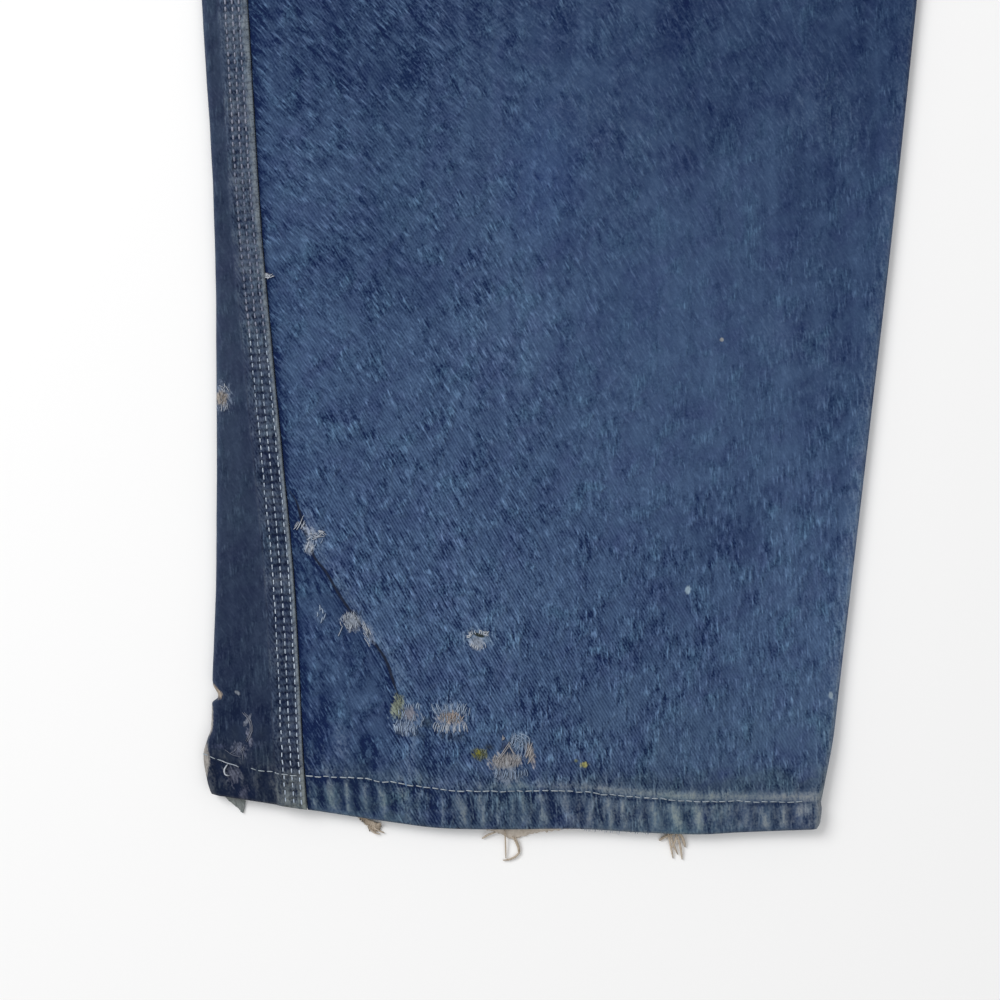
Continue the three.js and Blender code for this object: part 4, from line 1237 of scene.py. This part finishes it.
def comb(at, half, way, count, length, fan):
    # broken yarns side by side along the edge of a worn place: rooted on an arch half wide and half high
    # about at, they point up or down it and fan out a little
    t = alongYarn
    across = np.linspace(-1, 1, count)[:, None] + fringeDice.normal(0, 0.08, (count, 1))
    root = half[1] * np.sqrt(np.maximum(1 - across**2, 0.05)) * 0.7
    size = length * fringeDice.uniform(0.55, 1.25, (count, 1))
    x = at[0] + half[0] * across + (fan * across + fringeDice.normal(0, 0.18, (count, 1))) * size * t
    x = x + 0.12 * size * np.sin(np.pi * t) * fringeDice.normal(0, 1, (count, 1))
    y = at[1] + way * (root + size * (t - 0.25))
    z = heightAt(np.stack([x, y], -1), surface) + 0.08 + 0.3 * np.sin(np.pi * t)
    return np.stack([x, y, z], -1)


def run(points, height, among=surface):
    # one yarn through a few places; height is how far it stands off the cloth, or its own at each place
    path = np.array(points, float)
    step = np.concatenate([[0], np.cumsum(np.linalg.norm(np.diff(path, axis=0), axis=1))])
    t = step[-1] * alongYarn
    flat = np.stack([curve(np.column_stack([step, path[:, k]]))(t) for k in range(2)], -1)
    z = np.interp(t, step, height) if np.ndim(height) else heightAt(flat, among) + height
    return np.column_stack([flat, z])[None]


def strands(name, bundles, material, thick):
    # bundles of seven-step yarns as one piece of tapered threads
    paths = np.concatenate(bundles)
    taper = np.array([0.55, 0.9, 1, 1, 1, 0.9, 0.5])
    radii = thick * taper * fringeDice.uniform(0.7, 1.3, (len(paths), 1))
    tubes(name, paths, radii, material)


yarns = {name: threadMaterial(name + "Yarn", dull, bright) for name, dull, bright in (
    ("white", (140, 150, 166), (208, 212, 218)), ("blue", (108, 126, 152), (168, 184, 204)),
    ("tan", (146, 130, 112), (204, 192, 176)), ("strip", (176, 164, 150), (216, 208, 198)),
    ("beige", (128, 128, 134), (180, 176, 175)), ("dark", (34, 48, 74), (62, 80, 112)),
    ("green", (84, 94, 86), (128, 136, 122)), ("grey", (96, 102, 120), (146, 150, 162)),
)}
onBack = dict(among=backSurface)

strands("yarns_white", [
    tuft((-300.4, 122.4), (2.0, 2.2), 7, 3.8, 0.55, 0.2),
    tuft((-295.4, 117.6), (3.6, 1.3), 9, 3.4, 1.15, 0.25),
    tuft((-297, 113.2), (1.7, 1.8), 9, 2.8, 0.35, 0.2), tuft((-292.2, 118.6), (1.4, 1.0), 6, 2.6, -0.9, 0.2),
    comb((-280.4, 83.6), (2.8, 2.2), 1, 9, 2.8, 0.2), comb((-280.8, 83.2), (3.0, 2.2), -1, 8, 3.2, -0.35),
    run([(-283.6, 81.6), (-284.4, 79.6), (-285.4, 77.4)], 0.4),
    tuft((-273.6, 79), (1.3, 4.0), 9, 3.8, -0.45, 0.15), comb((-229.4, 77.6), (3.2, 1.6), 1, 9, 2.0, 0.5),
    comb((-229.6, 74.8), (2.4, 1.8), -1, 8, 1.8, 0.3),
    tuft((-232.9, 77.8), (0.7, 0.7), 5, 1.8, 1.2, 0.2, 0.1),
    tuft((-226.4, 78.6), (0.8, 0.8), 5, 1.8, 1.9, 0.2, 0.1),
    comb((-240.2, 42.8), (6.0, 2.0), -1, 19, 3.6, 0.25),
    tuft((-313.2, 222), (1.8, 1.0), 12, 2.2, 1.4, 0.5, 0.3),
], yarns["white"], 0.17)
strands("yarns_blue", [
    comb((-240.2, 46.2), (6.2, 2.2), 1, 21, 3.8, 0.4), comb((-258.4, 42.0), (4.6, 1.8), -1, 15, 3.8, -0.2),
    comb((-256.4, 48.2), (3.6, 1.6), 1, 8, 2.6, 0.3), tuft((-258, 44), (4.4, 3.6), 14, 3.0, 0.1, 0.2),
    tuft((-213, 35.6), (3.6, 2.2), 10, 4.4, 0.5, 0.2, 0.5),
    tuft((-252.2, 43.8), (1.1, 2.0), 5, 2.4, 0.0, 0.2),
    tuft((-292.4, 86), (1.6, 3.4), 5, 2.4, 0.2, 0.2), comb((-216.6, 24.4), (6.2, 1.8), -1, 18, 3.4, 0.1),
    tuft((-240, 46), (5.6, 3.4), 12, 2.6, 0.0, 0.2),
    run([(-216.4, 37.0), (-213.0, 35.6), (-213.2, 31.2), (-214.6, 28.4)], 0.7),
    run([(-215.2, 37.4), (-211.8, 35.8), (-211.8, 31.4), (-213.4, 28.6)], 0.9),
    run([(-214.2, 38.2), (-210.6, 36.4), (-210.2, 32.0), (-211.4, 29.2)], 0.7),
    run([(-212.8, 38.8), (-209.2, 37.2), (-208.8, 34.0)], 0.5),
    tuft((-295, 116), (3.4, 3.4), 8, 2.4, 0.4, 0.25),
], yarns["blue"], 0.17)
strands("yarns_beige", [
    tuft((-240.2, 45.0), (4.8, 1.6), 20, 2.2, 0.05, 0.2, 0.1, 0.3),
    tuft((-218.0, 27.8), (6.0, 2.4), 30, 2.8, 0.1, 0.25, 0.15, 0.3),
    tuft((-331.6, 173.0), (1.6, 2.4), 8, 2.6, 0.4, 0.3, 0.2, **onBack),
    tuft((-208.8, 30.8), (1.0, 3.6), 13, 4.0, 0.38, 0.1, 0.1),
    run([(-221.4, 28.6), (-219.2, 31.8), (-216.8, 35.4)], 0.8),
    run([(-221.0, 28.2), (-218.7, 31.4), (-216.3, 34.9)], 0.8),
    run([(-217.2, 34.4), (-215.8, 31.8), (-214.6, 29.6)], 0.7),
    run([(-216.8, 34.0), (-215.4, 31.6), (-214.0, 29.4)], 0.7),
    tuft((-219.6, 36.6), (0.8, 0.8), 4, 1.6, 0.2, 0.2, 0.1),
], yarns["beige"], 0.17)
strands("yarns_green", [
    tuft((-261.4, 49.8), (1.8, 4.0), 14, 3.2, -0.3, 0.2),
    tuft((-228.8, 30.6), (2.8, 1.9), 14, 2.0, 0.0, 0.4, 0.2),
], yarns["green"], 0.15)
strands("yarns_dark", [
    comb((-240.0, 40.0), (6.0, 2.0), -1, 10, 2.4, 0.2), comb((-258.4, 40.4), (4.0, 1.8), -1, 7, 2.2, 0.0),
    tuft((-217.6, 33.6), (3.6, 2.6), 10, 2.6, 0.3, 0.3, 0.2),
    comb((-279.6, 85.6), (3.4, 1.6), 1, 6, 2.0, 0.2),
], yarns["dark"], 0.13)
strands("yarns_edge", [
    tuft((-331.4, 176.6), (1.8, 1.4), 8, 2.6, -0.4, 0.3, 0.2, **onBack),
    tuft((-331.0, 169.0), (1.4, 1.6), 7, 2.4, 0.2, 0.3, 0.2, **onBack),
], yarns["white"], 0.13)
scuff = np.array([(-323.2, 46.6), (-320.7, 44.0), (-319.9, 39.4), (-321.7, 35.4)])
strands("yarns_scuff", [run(scuff + (0.42 * k, 0.5 * abs(k)), 0.25, **onBack) for k in (-1, 0, 1)] + [
    run([(-330.4, 32.4), (-327.2, 30.2), (-324.0, 29.6)], 0.2, **onBack),
    run([(-325.6, 33.6), (-323.6, 31.2), (-323.2, 28.0)], 0.2, **onBack),
    tuft((-325.6, 31.4), (3.0, 2.0), 7, 2.2, 0.9, 0.4, 0.3, 0.2, **onBack),
], yarns["grey"], 0.1)

# loose ends at the hem: a slipped loop of the hem's thread, tan fringe and hanging yarns, a torn tab
strands("hem_loop", [
    run([(-329.2, 26.6), (-330.4, 24.6), (-330.0, 22.6), (-328.4, 22.2)], 0.7, **onBack),
    run([(-331.6, 28.0), (-329.4, 27.0), (-326.4, 26.2), (-324.8, 25.4)], 0.5, **onBack),
], yarns["white"], 0.26)
strands("hem_ends", [
    run([(-218.6, 0.4), (-218.4, -5), (-218.2, -12)], (2.4, 1.2, 0.5)),
    run([(-215.6, -3), (-213.4, -7), (-213.0, -10), (-216, -12.2), (-219.4, -12.8)],
        (1.6, 0.9, 0.6, 0.5, 0.5)),
    run([(-214.6, -3), (-213.0, -7), (-212.6, -9.4)], (1.6, 0.9, 0.5)),
    run([(-227.8, -4.0), (-225.4, -2.4), (-222.4, -1.2)], (0.5, 1.2, 1.8)),
    run([(-271.4, 0.6), (-269.4, -0.6), (-267.0, -1.8)], (1.8, 1.2, 0.5)),
    run([(-273.0, 0.4), (-271.0, -1.6), (-268.6, -2.2)], (1.8, 1.2, 0.5)),
], yarns["tan"], 0.36)
strands("hem_bundle", [
    run([(-153.6, 0.2), (-152.4, -5), (-151.0, -12)], (2.2, 1.2, 0.4)),
    run([(-152.8, -0.2), (-151.0, -6), (-149.2, -10.4)], (2.0, 1.2, 0.4)),
    run([(-150.6, -0.2), (-148.4, -6), (-147.4, -12.4)], (2.0, 1.2, 0.4)),
    run([(-149.6, -0.2), (-150.2, -4.6), (-151.8, -8.2)], (2.2, 1.6, 0.8)),
    run([(-151.0, -2.0), (-154.4, -3.2), (-156.6, -4.8)], (1.8, 1.0, 0.4)),
    run([(-150.0, 0.2), (-147.2, -3.8), (-146.2, -7.4)], (2.2, 1.4, 0.5)),
], yarns["tan"], 0.5)

# the hem's lower edge is broken into short tips where it dragged
tipAt = np.sort(fringeDice.uniform(-232, -150, 120))[:, None]
tipLength = fringeDice.uniform(0.5, 1.6, tipAt.shape) * (0.4 + 1.1 * hump(tipAt, -176, 22))
tipX = tipAt + fringeDice.normal(0, 0.3, tipAt.shape) * alongYarn
tipY = leg["rise"](leg["outer"](0) + tipAt) + 0.9 - (tipLength + 0.5) * alongYarn
tips = np.stack([tipX, tipY, 3.4 - 2.2 * alongYarn + 0 * tipX], -1)
strands("hem_tips", [tips], yarns["white"], 0.17)


def fringe(name, material, points, thick, shred, seed):
    # a thin ragged strip hanging from the hem: points give x, its top and its ragged lower edge
    x = np.linspace(points[0][0], points[-1][0], 60)
    top, low = (curve([(p[0], p[k]) for p in points])(x) for k in (1, 2))
    dice = np.random.default_rng(seed)
    low = low + shred * np.minimum(dice.normal(0, 0.5, 60), 0.6) * ease(np.abs(top - low), 0.2, 1.2)
    t = np.linspace(0, 1, 9)[:, None]
    z = 0.5 + 1.4 * t + 0.2 * np.sin(x * 2.3 + t * 3)
    grid = np.stack([x + 0 * t, low + (top - low) * t, z], -1)
    grid[..., 0] += 0.12 * dice.normal(0, 1, grid.shape[:2])
    wall(name, grid, thick, grid[..., :2], material)


fringe("fringe_middle", yarns["strip"], [
    (-226.5, 0.6, -0.2), (-222, 0.4, -1.4), (-219, 0.3, -2.8), (-215.6, 0.3, -4.2), (-212, 0.3, -3.4),
    (-206, 0.5, -1.7), (-197, 0.6, -0.6), (-186, 0.8, 0.3),
], 0.4, 0.45, 3)
fringe("fringe_left", yarns["tan"], [
    (-277.4, 5.4, 4.6), (-275, 4.6, 2.6), (-272.6, 3.4, -0.4), (-270.6, 2.6, -1.4), (-268.4, 2.2, 0.6),
], 0.5, 1.2, 4)
tabTones = {"Deep Tone": tone(96, 102, 102), "Pale Tone": tone(154, 160, 158)}
tabCloth = denimMaterial("tabCloth", 0.55, **tabTones)
fringe("torn_tab", tabCloth, [
    (-332.0, 15.0, 13.6), (-329, 14.4, 10.8), (-326, 13.6, 8.4), (-323.6, 13.2, 6.4), (-322.8, 13.0, 11.0),
], 0.5, 0.1, 5)
print("frays and loose ends laid")

# the table top, the camera straight above the right leg's hem, and soft studio light
middle = Vector((-0.2206, (hemLine + 132) * metre, 0))
lit = Vector((-0.22, middle.y, 0))  # what the lamps stand round
stage = dict(edge=6, top=-0.0003, frameWidth=0.4, lens=70, sensor=36, cloth=0.004, sky=0.48)


def place(name, data, location):
    holder = bpy.data.objects.new(name, data)
    bpy.context.scene.collection.objects.link(holder)
    holder.location = location
    return holder


def buildStage():
    edge, top = stage["edge"], stage["top"]
    mesh = bpy.data.meshes.new("tableTop")
    corners = [(-edge, -edge, top), (edge, -edge, top), (edge, edge, top), (-edge, edge, top)]
    mesh.from_pydata(corners, [], [(0, 1, 2, 3)])
    paper = {"Base Color": tone(250, 250, 250), "Roughness": 1.0, "Specular IOR Level": 0.0}
    mesh.materials.append(newMaterial("palePaper", **paper)[0])
    place("tableTop", mesh, (0, 0, 0))
    scene = bpy.context.scene
    scene.view_settings.view_transform = "Standard"
    scene.view_settings.look = "None"
    scene.world = bpy.data.worlds.new("studio")
    scene.world.use_nodes = True
    feed(scene.world.node_tree.nodes["Background"], {0: (1.0, 1.0, 1.0, 1), 1: stage["sky"]})
    for name, way, size, power in (
        ("windowLight", (-1.5, 1.1, 1.7), 1.3, 42), ("roomLight", (1.2, -1.0, 2.2), 2.0, 10),
    ):
        light = bpy.data.lights.new(name, "AREA")
        light.size, light.energy = size, power
        lamp = place(name, light, Vector(way) + lit)
        lamp.rotation_euler = (-Vector(way)).to_track_quat("-Z", "Y").to_euler()
    view = bpy.data.cameras.new("overhead")
    view.lens, view.sensor_width = stage["lens"], stage["sensor"]
    view.clip_start, view.clip_end = 0.02, 50
    high = stage["frameWidth"] * stage["lens"] / stage["sensor"] + stage["cloth"]
    scene.camera = place("overhead", view, middle + Vector((0, 0, high)))


buildStage()
